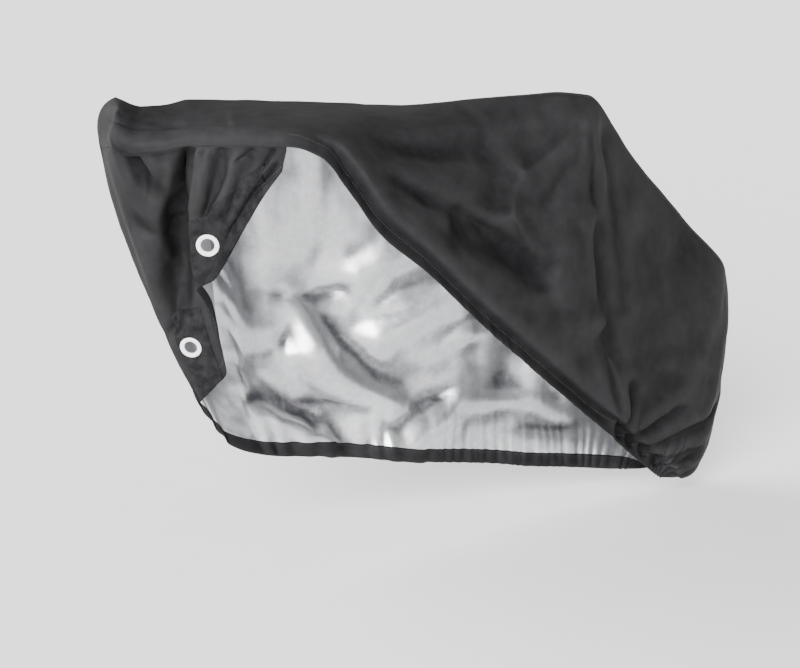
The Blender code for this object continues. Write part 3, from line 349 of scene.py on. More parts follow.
# Creases of the far sheet, in the same columns
FAR_CREASES = (
    # across the front, under the far grip
    ("soft", (-1.073, 0.218, 0.978, 0.014, 0.002), (-1.042, 0.203, 0.843, 0.016, 0.010),
     (-1.015, 0.200, 0.753, 0.018, 0.011), (-0.988, 0.200, 0.664, 0.020, 0.010),
     (-0.964, 0.202, 0.581, 0.020, 0.004)),
    ("keen", (-1.042, 0.201, 0.848, 0.005, -0.004), (-1.021, 0.171, 0.824, 0.007, -0.012),
     (-0.993, 0.144, 0.811, 0.006, -0.008)),
    ("soft", (-1.011, 0.079, 1.001, 0.010, 0.003), (-0.994, 0.087, 0.961, 0.014, 0.012),
     (-0.994, 0.103, 0.920, 0.016, 0.012), (-1.002, 0.133, 0.864, 0.014, 0.004)),
    ("soft", (-1.078, 0.143, 1.005, 0.014, -0.032), (-1.062, 0.136, 0.980, 0.018, -0.034),
     (-1.040, 0.138, 0.935, 0.020, -0.016), (-1.022, 0.145, 0.886, 0.018, 0.000)),
    ("keen", (-1.060, 0.120, 0.996, 0.005, -0.004), (-1.022, 0.084, 0.996, 0.006, -0.010),
     (-0.990, 0.060, 1.005, 0.006, -0.010), (-0.965, 0.035, 1.012, 0.005, -0.006)),
    ("keen", (-1.070, 0.130, 1.000, 0.006, 0.000), (-1.045, 0.112, 0.985, 0.007, 0.006),
     (-1.015, 0.092, 0.968, 0.007, 0.006), (-0.994, 0.083, 0.955, 0.006, 0.000)),
    ("keen", (-1.035, 0.100, 0.997, 0.006, 0.000), (-1.010, 0.084, 0.992, 0.006, -0.006),
     (-0.985, 0.075, 0.974, 0.006, 0.000)),
    # the deep pleat beside the flap, and its wider foot
    ("soft", (-0.970, 0.060, 1.010, 0.012, -0.020), (-0.966, 0.070, 0.959, 0.018, -0.040),
     (-0.970, 0.086, 0.916, 0.020, -0.045), (-0.977, 0.107, 0.865, 0.022, -0.050),
     (-0.982, 0.134, 0.807, 0.026, -0.055), (-0.978, 0.149, 0.756, 0.028, -0.055),
     (-0.975, 0.173, 0.690, 0.026, -0.045), (-0.962, 0.194, 0.594, 0.020, -0.025)),
    ("soft", (-0.961, 0.090, 0.860, 0.014, -0.010), (-0.963, 0.112, 0.810, 0.020, -0.030),
     (-0.961, 0.136, 0.738, 0.024, -0.038), (-0.953, 0.157, 0.667, 0.020, -0.026),
     (-0.947, 0.168, 0.620, 0.014, 0.000)),
    # down the flap, from the gathers under its top: ridges and the hollows between them
    ("keen", (-0.960, 0.030, 1.008, 0.004, 0.006), (-0.963, 0.032, 0.957, 0.006, 0.009),
     (-0.964, 0.027, 0.896, 0.007, 0.008), (-0.964, 0.027, 0.856, 0.006, 0.003)),
    ("keen", (-0.955, 0.023, 0.999, 0.004, -0.007), (-0.956, 0.019, 0.955, 0.005, -0.005),
     (-0.957, 0.019, 0.925, 0.004, 0.000)),
    ("keen", (-0.946, 0.013, 1.008, 0.004, 0.005), (-0.951, 0.016, 0.979, 0.006, 0.007),
     (-0.956, 0.019, 0.941, 0.006, 0.006), (-0.962, 0.023, 0.899, 0.006, 0.003)),
    ("keen", (-0.927, -0.008, 1.010, 0.006, -0.012), (-0.924, -0.008, 0.979, 0.008, -0.010),
     (-0.924, -0.007, 0.957, 0.009, -0.012), (-0.935, 0.003, 0.924, 0.009, -0.012),
     (-0.951, 0.015, 0.896, 0.008, -0.009), (-0.961, 0.022, 0.877, 0.006, -0.004)),
    ("keen", (-0.910, -0.021, 0.984, 0.006, 0.004), (-0.915, -0.012, 0.940, 0.010, 0.007),
     (-0.933, 0.004, 0.898, 0.011, 0.008), (-0.947, 0.014, 0.869, 0.008, 0.003)),
    ("keen", (-0.915, -0.019, 1.007, 0.004, -0.005), (-0.910, -0.022, 0.994, 0.005, -0.008),
     (-0.902, -0.029, 0.988, 0.005, -0.009), (-0.890, -0.041, 0.995, 0.005, -0.009),
     (-0.883, -0.055, 1.009, 0.005, -0.008)),
    ("keen", (-0.882, -0.052, 0.999, 0.005, 0.003), (-0.890, -0.032, 0.946, 0.009, 0.007),
     (-0.906, -0.016, 0.906, 0.010, 0.008), (-0.924, 0.001, 0.867, 0.008, 0.003)),
    ("keen", (-0.854, -0.094, 1.010, 0.005, -0.010), (-0.862, -0.069, 0.980, 0.006, -0.012),
     (-0.876, -0.046, 0.946, 0.005, -0.004)),
    ("keen", (-0.852, -0.085, 0.989, 0.004, 0.003), (-0.859, -0.071, 0.972, 0.005, 0.006),
     (-0.872, -0.050, 0.943, 0.006, 0.007), (-0.884, -0.034, 0.912, 0.005, 0.003)),
    # hem band of the flap, with the groove along it
    ("keen", (-0.847, -0.091, 0.981, 0.004, -0.008), (-0.859, -0.068, 0.949, 0.005, -0.014),
     (-0.874, -0.047, 0.926, 0.005, -0.016), (-0.890, -0.026, 0.892, 0.005, -0.016),
     (-0.905, -0.009, 0.855, 0.005, -0.014), (-0.914, 0.001, 0.832, 0.005, -0.012),
     (-0.925, 0.015, 0.798, 0.005, -0.008), (-0.942, 0.031, 0.759, 0.004, 0.000)),
    # crumples under the near eyelet
    ("keen", (-0.969, 0.049, 0.773, 0.005, 0.000), (-0.955, 0.039, 0.756, 0.005, 0.007),
     (-0.937, 0.026, 0.772, 0.005, 0.000)),
    ("keen", (-0.970, 0.056, 0.750, 0.004, 0.000), (-0.957, 0.047, 0.735, 0.005, -0.008),
     (-0.945, 0.037, 0.744, 0.004, 0.000)),
    ("keen", (-0.975, 0.050, 0.800, 0.004, -0.005), (-0.966, 0.045, 0.785, 0.004, -0.006),
     (-0.958, 0.042, 0.770, 0.004, 0.000)),
    # far side, seen from inside: the long swag fold, its hollow and the crease below it
    ("tent", (-0.628, 0.240, 0.587, 0.030, 0.000), (-0.612, 0.235, 0.538, 0.045, -0.010),
     (-0.596, 0.229, 0.488, 0.050, -0.015), (-0.582, 0.220, 0.427, 0.050, -0.015),
     (-0.527, 0.207, 0.376, 0.045, -0.014), (-0.487, 0.198, 0.348, 0.040, -0.010),
     (-0.431, 0.186, 0.303, 0.030, 0.000)),
    ("keen", (-0.615, 0.239, 0.590, 0.007, 0.000), (-0.588, 0.228, 0.494, 0.009, 0.012),
     (-0.559, 0.218, 0.431, 0.010, 0.014), (-0.501, 0.203, 0.382, 0.008, 0.004)),
    ("keen", (-0.696, 0.232, 0.469, 0.007, 0.002), (-0.667, 0.220, 0.394, 0.009, 0.010),
     (-0.623, 0.209, 0.328, 0.009, 0.010), (-0.567, 0.194, 0.254, 0.007, 0.002)),
    ("tent", (-0.747, 0.212, 0.357, 0.020, -0.004), (-0.666, 0.205, 0.313, 0.035, -0.012),
     (-0.592, 0.197, 0.264, 0.035, -0.012), (-0.533, 0.185, 0.217, 0.020, -0.004)),
    ("tent", (-0.640, 0.240, 0.572, 0.020, 0.000), (-0.665, 0.236, 0.511, 0.030, 0.008),
     (-0.653, 0.230, 0.462, 0.020, 0.000)),
    # the deep fold above it, and the narrow folds that fan out from its rear end
    ("keen", (-0.712, 0.249, 0.629, 0.010, 0.004), (-0.619, 0.240, 0.604, 0.014, 0.018),
     (-0.512, 0.217, 0.609, 0.016, 0.024), (-0.440, 0.199, 0.637, 0.014, 0.018),
     (-0.392, 0.185, 0.673, 0.010, 0.004)),
    ("tent", (-0.463, 0.205, 0.579, 0.020, -0.004), (-0.428, 0.197, 0.621, 0.026, -0.016),
     (-0.397, 0.187, 0.659, 0.020, -0.006)),
    ("tent", (-0.466, 0.206, 0.551, 0.024, -0.004), (-0.380, 0.186, 0.572, 0.034, -0.018),
     (-0.301, 0.168, 0.600, 0.024, -0.006)),
    ("keen", (-0.445, 0.199, 0.468, 0.008, 0.000), (-0.420, 0.195, 0.489, 0.009, 0.012),
     (-0.381, 0.187, 0.526, 0.010, 0.016), (-0.331, 0.176, 0.564, 0.010, 0.012),
     (-0.281, 0.164, 0.600, 0.008, 0.000)),
    ("tent", (-0.282, 0.168, 0.446, 0.020, 0.000), (-0.204, 0.154, 0.473, 0.036, -0.016),
     (-0.137, 0.144, 0.469, 0.024, 0.000)),
    ("keen", (-0.510, 0.216, 0.675, 0.007, 0.000), (-0.493, 0.211, 0.697, 0.008, 0.010),
     (-0.498, 0.211, 0.719, 0.007, 0.000)),
    ("tent", (-0.553, 0.223, 0.506, 0.020, 0.000), (-0.483, 0.206, 0.461, 0.032, 0.012),
     (-0.426, 0.191, 0.380, 0.026, 0.000)),
    # far side: broad drapes from the crest to the hem
    ("soft", (-0.894, 0.187, 1.093, 0.030, 0.000), (-0.880, 0.257, 0.957, 0.036, -0.008),
     (-0.851, 0.262, 0.742, 0.040, -0.014), (-0.825, 0.247, 0.581, 0.040, -0.010),
     (-0.785, 0.213, 0.370, 0.034, 0.000)),
    ("tent", (-0.785, 0.170, 1.082, 0.030, 0.000), (-0.764, 0.246, 0.949, 0.044, 0.012),
     (-0.742, 0.256, 0.731, 0.050, 0.014), (-0.735, 0.226, 0.430, 0.030, 0.000)),
    ("soft", (-0.591, 0.120, 1.062, 0.024, 0.000), (-0.579, 0.207, 0.931, 0.034, -0.014),
     (-0.569, 0.231, 0.711, 0.030, 0.000)),
    ("tent", (-0.428, 0.068, 1.046, 0.024, 0.000), (-0.418, 0.159, 0.914, 0.044, 0.014),
     (-0.430, 0.193, 0.740, 0.030, 0.000)),
    ("soft", (-0.211, 0.010, 1.050, 0.024, 0.000), (-0.218, 0.106, 0.909, 0.040, -0.014),
     (-0.227, 0.147, 0.675, 0.044, -0.016), (-0.234, 0.159, 0.498, 0.036, -0.008),
     (-0.244, 0.160, 0.260, 0.030, 0.000)),
    ("tent", (-0.022, -0.018, 1.043, 0.024, 0.000), (-0.028, 0.070, 0.890, 0.044, 0.012),
     (-0.042, 0.114, 0.651, 0.050, 0.016), (-0.055, 0.129, 0.469, 0.046, 0.014),
     (-0.074, 0.133, 0.226, 0.030, 0.000)),
    ("soft", (0.145, -0.018, 0.888, 0.020, 0.000), (0.124, 0.052, 0.753, 0.030, -0.012),
     (0.099, 0.094, 0.551, 0.034, -0.014), (0.082, 0.108, 0.397, 0.030, -0.010),
     (0.060, 0.109, 0.191, 0.024, 0.000)),
    ("tent", (0.321, -0.010, 0.706, 0.020, 0.000), (0.287, 0.050, 0.602, 0.034, 0.010),
     (0.236, 0.087, 0.445, 0.040, 0.014), (0.198, 0.098, 0.325, 0.034, 0.010),
     (0.148, 0.096, 0.164, 0.024, 0.000)),
    # far side, low down
    ("keen", (-0.391, 0.182, 0.314, 0.012, 0.000), (-0.286, 0.167, 0.322, 0.016, 0.014),
     (-0.204, 0.156, 0.347, 0.014, 0.000)),
    ("keen", (-0.450, 0.182, 0.238, 0.012, 0.000), (-0.342, 0.172, 0.256, 0.016, -0.016),
     (-0.207, 0.156, 0.246, 0.014, 0.000)),
    ("keen", (-0.126, 0.143, 0.207, 0.010, 0.000), (-0.019, 0.122, 0.204, 0.014, 0.012),
     (0.121, 0.099, 0.163, 0.010, 0.000)),
    ("keen", (-0.124, 0.144, 0.284, 0.012, 0.000), (-0.017, 0.124, 0.255, 0.016, -0.012),
     (0.094, 0.105, 0.199, 0.012, 0.000)),
)


def smooth(keys, values, at):
    """Read a smooth curve through the key values, with no overshoot between them."""
    keys = np.asarray(keys, float)
    values = np.asarray(values, float)
    steps = np.diff(keys)[:, None]
    slopes = np.diff(values, axis=0) / steps
    tangents = np.zeros_like(values)
    tangents[0] = slopes[0]
    tangents[-1] = slopes[-1]
    before, after = slopes[:-1], slopes[1:]
    same_way = before * after > 0
    total = np.where(same_way, before + after, 1.0)
    tangents[1:-1] = np.where(same_way, 2 * before * after / total, 0.0)
    place = np.clip(np.searchsorted(keys, at, side="right") - 1, 0, len(keys) - 2)
    span = steps[place, 0]
    share = (at - keys[place]) / span
    start = (1 + 2 * share) * (1 - share) ** 2 * values[place]
    leave = share * (1 - share) ** 2 * span * tangents[place]
    finish = share ** 2 * (3 - 2 * share) * values[place + 1]
    arrive = share ** 2 * (share - 1) * span * tangents[place + 1]
    return start + leave + finish + arrive


def walk(points):
    """Distance walked along a row of points, from 0 at the first."""
    return np.concatenate([[0], np.cumsum(np.linalg.norm(np.diff(points, axis=0), axis=1))])


def hem_rows(length):
    """Distances down a hanging line at which a sheet has its rows."""
    band = min(HEM_BAND, length * BAND_SHARE)
    lip = min(HEM_LIP, length * LIP_SHARE)
    body = np.linspace(0, length - band - lip, BODY_ROWS, endpoint=False)
    fall = np.linspace(length - band - lip, length - band, LIP_ROWS, endpoint=False)
    return np.concatenate([body, fall, np.linspace(length - band, length, BAND_ROWS + 1)])


def hanging_line(guides):
    """Points down the cubic curve of four guides: seam, lead, drape and hem."""
    fine = np.linspace(0, 1, LINE_STEPS + 1)[:, None]
    top, lead, drape, hem = guides
    curve = (top * (1 - fine) ** 3 + 3 * lead * fine * (1 - fine) ** 2
             + 3 * drape * fine ** 2 * (1 - fine) + hem * fine ** 3)
    walked = walk(curve)
    stops = hem_rows(walked[-1])
    return np.stack([np.interp(stops, walked, curve[:, axis]) for axis in range(3)], axis=1)


def guides_of(lines):
    """First value of each row of a table of lines, and the guides of each row as one list of numbers."""
    return [row[0] for row in lines], np.array([row[1:] for row in lines]).reshape(len(lines), -1)


def near_columns():
    """Where the near sheet's columns stand, counted in near lines."""
    places = []
    for line, row in enumerate(NEAR_LINES[:-1]):
        count = row[0] * COLUMN_FINER
        places += [line + step / count for step in range(count)]
    return places + [len(NEAR_LINES) - 1]


def middle_column():
    """Column of the near sheet where its sewn edge ends and its free hem starts."""
    return near_columns().index(MIDDLE)


def near_grid():
    """Points of the near sheet: a column for each hanging line, seam first."""
    guides = guides_of(NEAR_LINES)[1]
    lines = [smooth(range(len(NEAR_LINES)), guides, place).reshape(4, 3) for place in near_columns()]
    return np.array([hanging_line(line) for line in lines])


def end_rows(near):
    """Rows of the near sheet that the far sheet meets down the front end, hem side first."""
    return np.linspace(near.shape[1] - 1, 0, END_COLUMNS + 2).round().astype(int)[1:-1]


def seam_edge(near):
    """Points of the near sheet's seam, from the handlebar's middle round the far grip to the rear."""
    return np.vstack([near[middle_column()::-1, -1], near[0, end_rows(near)], near[:, 0]])


def sewn_shares(near):
    """Share of the sewn edge across the front at each column of the far sheet, from its free end."""
    walked = walk(near[middle_column()::-1, -1])
    return walked / walked[-1]


def far_grid(near):
    """Points of the far sheet, from its free edge across the front, round the corner and to the rear."""
    front_keys, front_guides = guides_of(FRONT_LINES)
    far_keys, far_guides = guides_of(FAR_LINES)
    rests = [smooth(front_keys, front_guides, share) for share in sewn_shares(near)]
    for row in end_rows(near):
        share = row / (near.shape[1] - 1)
        rests.append(front_guides[-1] * share + far_guides[0] * (1 - share))
    rests += [smooth(far_keys, far_guides, place) for place in near_columns()]
    guides = [np.vstack([top, rest.reshape(3, 3)]) for top, rest in zip(seam_edge(near), rests)]
    return np.array([hanging_line(line) for line in guides])


def normals_of(grid, side):
    """Outward normal at each point of a grid. side is -1 on the near sheet and 1 on the far one."""
    across = np.gradient(grid, axis=0)
    down = np.gradient(grid, axis=1)
    normals = np.cross(across, down) * side
    return normals / np.maximum(np.linalg.norm(normals, axis=2, keepdims=True), 1e-9)


def fold_lift(points, kind, path):
    """Lift of one fold out of the cloth. Each place on its path has its own half width and height.

    A soft fold is round, a keen one has a sharp top, and a tent also has flat sides.
    """
    path = np.array(path)
    nearest = np.full(points.shape[:2], np.inf)
    width = np.ones(points.shape[:2])
    height = np.zeros(points.shape[:2])
    for start, end in zip(path, path[1:]):
        run = end[:3] - start[:3]
        share = np.clip((points - start[:3]) @ run / (run @ run), 0, 1)
        away = np.linalg.norm(points - start[:3] - share[..., None] * run, axis=2)
        closer = away < nearest
        nearest = np.where(closer, away, nearest)
        width = np.where(closer, start[3] + share * (end[3] - start[3]), width)
        height = np.where(closer, start[4] + share * (end[4] - start[4]), height)
    if kind == "soft":
        return height * np.exp(-(nearest / width) ** 2)
    fall = (np.hypot(nearest, KEEN_ROUND) - KEEN_ROUND) / width
    return height * (np.maximum(0, 1 - fall) if kind == "tent" else np.exp(-fall))


def main_lift(points):
    """Lift of the main folds, the same as in the solids."""
    lift = np.zeros(points.shape[:2])
    for start, end, half_width, height in FOLDS:
        lift += fold_lift(points, "soft", ((*start, half_width, height), (*end, half_width, height)))
    return lift


def crumple(points, size, height, seed):
    """Slight unevenness of the cloth, of a given size and height."""
    shift = Vector((seed * 7.3, seed * 3.1, seed * 5.7))
    rough = [noise.noise(Vector(place) + shift) for place in points.reshape(-1, 3) / size]
    return height * np.array(rough).reshape(points.shape[:2])


def ripple(places, spacing, seed):
    """Uneven wave along a length: about one crest in each spacing, from -1 to 1."""
    turns = places / spacing * 2 * math.pi
    drift = 1.6 * np.sin(turns * 0.23 + seed) + 0.9 * np.sin(turns * 0.41 + seed * 2.7)
    return np.sin(turns + drift)


def ease(low, high, value):
    """Smooth step from 0 at low to 1 at high."""
    share = np.clip((value - low) / (high - low), 0, 1)
    return share * share * (3 - 2 * share)


def hem_profile():
    """Share of the hem's tuck at each row: 0 above the lip, 1 in the band."""
    rows = np.arange(BODY_ROWS + LIP_ROWS + BAND_ROWS + 1)
    return ease(BODY_ROWS - 1, BODY_ROWS + LIP_ROWS - 1, rows)


def shirr(grid, normals, gathers, edge):
    """Ruffle a sheet along its elastic hem. gathers: (first column, last, spacing, height, reach up)."""
    along = walk(edge)
    from_hem = np.linalg.norm(grid - grid[:, -1:], axis=2)
    for seed, (first, last, spacing, height, reach) in enumerate(gathers):
        columns = np.arange(len(grid))
        ends = ease(first - 3, first + 6, columns) * (1 - ease(last - 6, last + 3, columns))
        wave = ripple(along, spacing, seed + 1.0) * ends * height
        fade = np.exp(-(from_hem / reach) ** 2)
        grid = grid + normals * (wave[:, None] * fade)[..., None]
    return grid


def lay_folds(grid, side):
    """Lay the main folds on a sheet, the same as in the solids."""
    return grid + normals_of(grid, side) * main_lift(grid)[..., None]


def lay_creases(grid, side, creases):
    """Lay the creases, then a slight unevenness, on a sheet that has settled."""
    lift = np.zeros(grid.shape[:2])
    for kind, *path in creases:
        lift += fold_lift(grid, kind, path)
    for size, height, seed in CRUMPLES:
        lift += crumple(grid, size, height, seed)
    return grid + normals_of(grid, side) * lift[..., None]


def overhang(near):
    """Let the fold across the front hang out over the seam below it."""
    rows = np.arange(near.shape[1])
    last = near.shape[1] - 1
    begins, full, ends = [last - count for count in OVERHANG_ROWS]
    swell = ease(begins, full, rows) * (1 - ease(ends, last, rows))
    places = np.array(near_columns())
    reach = ease(0.2, 1.2, places) * (1 - ease(MIDDLE - 0.3, MIDDLE + 0.7, places))
    return near + normals_of(near, -1) * (FRONT_OVERHANG * reach[:, None] * swell[None])[..., None]


def finer(moves):
    """Moves of every point of a grid, from those of every second one."""
    for _ in range(2):
        moves = np.moveaxis(moves, 0, 1)
        wide = np.zeros((2 * len(moves) - 1, *moves.shape[1:]))
        wide[::2] = moves
        wide[1::2] = (moves[1:] + moves[:-1]) / 2
        moves = wide
    return moves


def grip_of(grid, loose, firm, free):
    """How firmly each point is held: full at the seam, at the hem and up to the column called firm.

    The hold eases off until the column called free.
    """
    rows = np.arange(grid.shape[1])
    edges = np.maximum(1 - ease(2, 14, rows), ease(BODY_ROWS - 8, BODY_ROWS + 2, rows))
    columns = np.arange(len(grid))
    ends = np.maximum(1 - ease(firm, free, columns), ease(len(grid) - 12, len(grid) - 2, columns))
    return np.maximum(loose, np.maximum(edges[None, :], ends[:, None]))


def evened(moves):
    """Moves with their unevenness from point to point taken out."""
    for _ in range(EVEN_PASSES):
        padded = np.pad(moves, ((1, 1), (1, 1), (0, 0)), mode="edge")
        moves = (4 * moves + padded[2:, 1:-1] + padded[:-2, 1:-1] + padded[1:-1, 2:] + padded[1:-1, :-2]) / 8
    return moves


def woven(grid):
    """Bmesh with a vertex at each point of a grid, and the (column, row) of each vertex."""
    columns, rows = grid.shape[0] - 1, grid.shape[1] - 1
    maker = bmesh.new()
    bmesh.ops.create_grid(maker, x_segments=columns, y_segments=rows, size=0.5)
    spots = []
    for vertex in maker.verts:
        spot = (round((vertex.co.x + 0.5) * columns), round((vertex.co.y + 0.5) * rows))
        spots.append(spot)
        vertex.co = Vector(grid[spot])
    maker.verts.index_update()
    return maker, spots


def settle(grid, held, slack):
    """Let a sheet with a little slack settle under its weight, and cap how far each point moves.

    held is how firmly each point keeps its place, from 0 to 1. A coarse copy is simulated.
    """
    coarse = grid[::2, ::2]
    maker, spots = woven(coarse)
    sample = finished("slack_cloth", maker, [])
    grip = sample.vertex_groups.new(name="grip")
    for index, (column, row) in enumerate(spots):
        grip.add([index], held[2 * column, 2 * row], "REPLACE")
    cloth = sample.modifiers.new("slack", "CLOTH")
    cloth.point_cache.frame_start = 1
    cloth.point_cache.frame_end = SETTLE_STEPS
    for setting, value in CLOTH_FEEL:
        setattr(cloth.settings, setting, value)
    cloth.settings.vertex_group_mass = "grip"
    cloth.settings.shrink_min = -slack
    cloth.collision_settings.use_collision = False
    cloth.collision_settings.use_self_collision = False
    for step in range(1, SETTLE_STEPS + 1):
        bpy.context.scene.frame_set(step)
    settled = sample.evaluated_get(bpy.context.evaluated_depsgraph_get()).data
    moves = np.zeros(coarse.shape)
    for spot, vertex in zip(spots, settled.vertices):
        moves[spot] = np.array(vertex.co) - coarse[spot]
    spent = sample.data
    bpy.data.objects.remove(sample)
    bpy.data.meshes.remove(spent)
    bpy.context.scene.frame_set(1)
    moves = evened(moves)
    how_far = np.linalg.norm(moves, axis=2, keepdims=True)
    moves *= np.tanh(how_far / SETTLE_CAP) * SETTLE_CAP / np.maximum(how_far, 1e-9)
    return grid + finer(moves)


def tuck_hem(near, normals):
    """Draw the free hem of the near sheet in behind the blouse that hangs over it."""
    places = np.array(near_columns())
    rise = ease(MIDDLE + 0.2, MIDDLE + 2.2, places)
    fall = 1 - ease(len(NEAR_LINES) - 5, len(NEAR_LINES) - 1, places)
    rows = np.arange(near.shape[1])
    fullest = BODY_ROWS - 2
    blouse = ease(BODY_ROWS - BLOUSE_ROWS, fullest, rows) * (1 - ease(fullest, fullest + 3, rows))
    flare = ease(BODY_ROWS + LIP_ROWS, near.shape[1], rows)
    depth = HEM_TUCK * hem_profile() - HEM_BLOUSE * blouse - HEM_FLARE * flare
    return near - normals * ((rise * fall)[:, None] * depth[None])[..., None]


def close_seam(far, near):
    """Bring the top of the far sheet to the finished seam edge of the near one."""
    gap = seam_edge(near) - far[:, 0]
    fade = 1 - ease(0, 5, np.arange(far.shape[1]))
    return far + gap[:, None] * fade[None, :, None]


def flatten(grid, centre, normal):
    """Lay the cloth round an eyelet in the eyelet's plane."""
    offset = grid - centre
    away = np.linalg.norm(offset, axis=2)
    share = 1 - ease(FLAT_RADIUS, BLEND_RADIUS, away)
    return grid - normal * ((offset @ normal) * share)[..., None]


def eyelet_seat(node):
    """Centre of an eyelet of the frame, and its axis towards the front or the near side."""
    places = np.array([vertex.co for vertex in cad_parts[node].data.vertices])
    centre = (places.max(0) + places.min(0)) / 2
    normal = np.linalg.svd(places - places.mean(0), full_matrices=False)[2][2]
    outward = -1 if normal @ np.array((1, 1, 0)) > 0 else 1
    return centre + np.array(SADDLE_TOP), normal * outward


def bend_of(grid, normals):
    """How much a sheet is bent at each point: above 0 on a ridge, below 0 in a hollow."""
    around = [np.roll(grid, step, axis) for axis in (0, 1) for step in (BEND_REACH, -BEND_REACH)]
    bend = ((grid - sum(around) / 4) * normals).sum(2) / BEND_FULL
    inner = np.zeros(bend.shape)
    inner[BEND_REACH:-BEND_REACH, BEND_REACH:-BEND_REACH] = 1
    return evened(np.clip(bend * inner, -1, 1)[..., None])[..., 0]


def cloth_piece(name, grid, side, finishes, thickness=CLOTH, holes=()):
    """Thin sheet through the points of a grid, with its weave's coordinates and its bend stored on it."""
    maker, spots = woven(grid)
    bmesh.ops.translate(maker, vec=-SADDLE_TOP, verts=maker.verts)
    across = walk(grid[:, (grid.shape[1] - 1) // 2])
    falls = [walk(column) for column in grid]
    bends = bend_of(grid, normals_of(grid, side))
    weave = maker.loops.layers.uv.new("weave")
    bent = maker.verts.layers.float.new("bend")
    for vertex, spot in zip(maker.verts, spots):
        vertex[bent] = bends[spot]
    for face in maker.faces:
        face.smooth = True
        for loop in face.loops:
            column, row = spots[loop.vert.index]
            loop[weave].uv = (across[column], falls[column][row])
    for centre in holes:
        middle = Vector(centre) - SADDLE_TOP
        inside = [face for face in maker.faces
                  if any((vertex.co - middle).length < HOLE_RADIUS for vertex in face.verts)]
        bmesh.ops.delete(maker, geom=inside, context="FACES")
    if side < 0:
        bmesh.ops.reverse_faces(maker, faces=maker.faces)
    piece = finished(name, maker, finishes)
    skin = piece.modifiers.new("thickness", "SOLIDIFY")
    skin.thickness = thickness
    skin.offset = 0
    skin.material_offset = len(finishes) - 1
    return piece


def finished(name, maker, finishes):
    """Object of the scene from a bmesh and its finishes."""
    mesh = bpy.data.meshes.new(name)
    maker.to_mesh(mesh)
    maker.free()
    for finish in finishes:
        mesh.materials.append(finish)
    piece = bpy.data.objects.new(name, mesh)
    bpy.context.scene.collection.objects.link(piece)
    return piece


def turned_hem(name, grid, normals, side, finishes):
    """Turned part of a hem, inside the cloth: a strip that meets the sheet at its very edge."""
    first = BODY_ROWS + LIP_ROWS
    rows = np.arange(first, grid.shape[1])
    share = (rows - first) / (len(rows) - 1)
    rise = HEM_RISE + HEM_SWELL * np.sin(share * math.pi)
    rise[-1] = HEM_CLOSE
    strip = grid[:, first:] - normals[:, first:] * rise[None, :, None]
    return cloth_piece(name, strip, side, finishes, thickness=TURNED_CLOTH)


def thread_bead():
    """Corners and faces of one stitch, before it is sized and placed."""
    bead = bmesh.new()
    bmesh.ops.create_uvsphere(bead, u_segments=THREAD_SIDES, v_segments=4, radius=1)
    bead.verts.index_update()
    corners = [vertex.co.copy() for vertex in bead.verts]
    faces = [[vertex.index for vertex in face.verts] for face in bead.faces]
    bead.free()
    return corners, faces


def stitch_run(maker, bead, line, normals, lift):
    """One run of stitches along a line on the cloth, lifted off it towards the normals."""
    walked = walk(line)
    length, width, height = STITCH
    corners, faces = bead
    for start in np.arange(STITCH_PITCH, walked[-1] - STITCH_PITCH, STITCH_PITCH):
        rear, front, up = [
            Vector([np.interp(place, walked, row[:, axis]) for axis in range(3)])
            for place, row in ((start - length / 2, line), (start + length / 2, line), (start, normals))]
        run = (front - rear).normalized()
        sideways = up.cross(run).normalized()
        up = run.cross(sideways)
        turn = Matrix((run * length / 2, sideways * width / 2, up * height / 2)).transposed().to_4x4()
        place = Matrix.Translation((rear + front) / 2 + up * lift - SADDLE_TOP) @ turn
        beads = [maker.verts.new(place @ corner) for corner in corners]
        for face in faces:
            maker.faces.new([beads[index] for index in face]).smooth = True


def eyelet(name, centre, normal, finish):
    """Plastic eyelet, turned: domed flanges on both sides of the cloth, joined by a barrel."""
    wide = EYELET_OUTER - EYELET_BORE - EYELET_STEP
    begins, takes = DOME_ARC
    dome = [(EYELET_BORE, 0.0)]
    for step in range(DOME_STEPS + 1):
        share = step / DOME_STEPS
        crown = math.sin(math.pi * (begins + takes * share)) ** DOME_ROUND
        height = EYELET_FOOT + (EYELET_TOP - EYELET_FOOT) * crown
        dome.append((EYELET_BORE + EYELET_STEP + wide * share, height))
    dome.append((EYELET_OUTER, EYELET_FOOT * RIM_SHARE))
    dome.append((EYELET_OUTER - EYELET_UNDERCUT, EYELET_FOOT * UNDERCUT_SHARE))
    section = dome + [(radius, -height) for radius, height in reversed(dome[1:])]
    maker = bmesh.new()
    corners = [maker.verts.new((radius, 0, height)) for radius, height in section]
    edges = [maker.edges.new(pair) for pair in zip(corners, corners[1:] + corners[:1])]
    bmesh.ops.spin(maker, geom=corners + edges, cent=(0, 0, 0), axis=(0, 0, 1), angle=2 * math.pi,
                   steps=EYELET_SIDES, use_merge=True)
    bmesh.ops.recalc_face_normals(maker, faces=maker.faces)
    for face in maker.faces:
        face.smooth = True
    turn = Vector((0, 0, 1)).rotation_difference(Vector(normal)).to_matrix().to_4x4()
    place = Matrix.Translation(Vector(centre) - SADDLE_TOP) @ turn
    bmesh.ops.transform(maker, matrix=place, verts=maker.verts)
    return finished(name, maker, [finish])


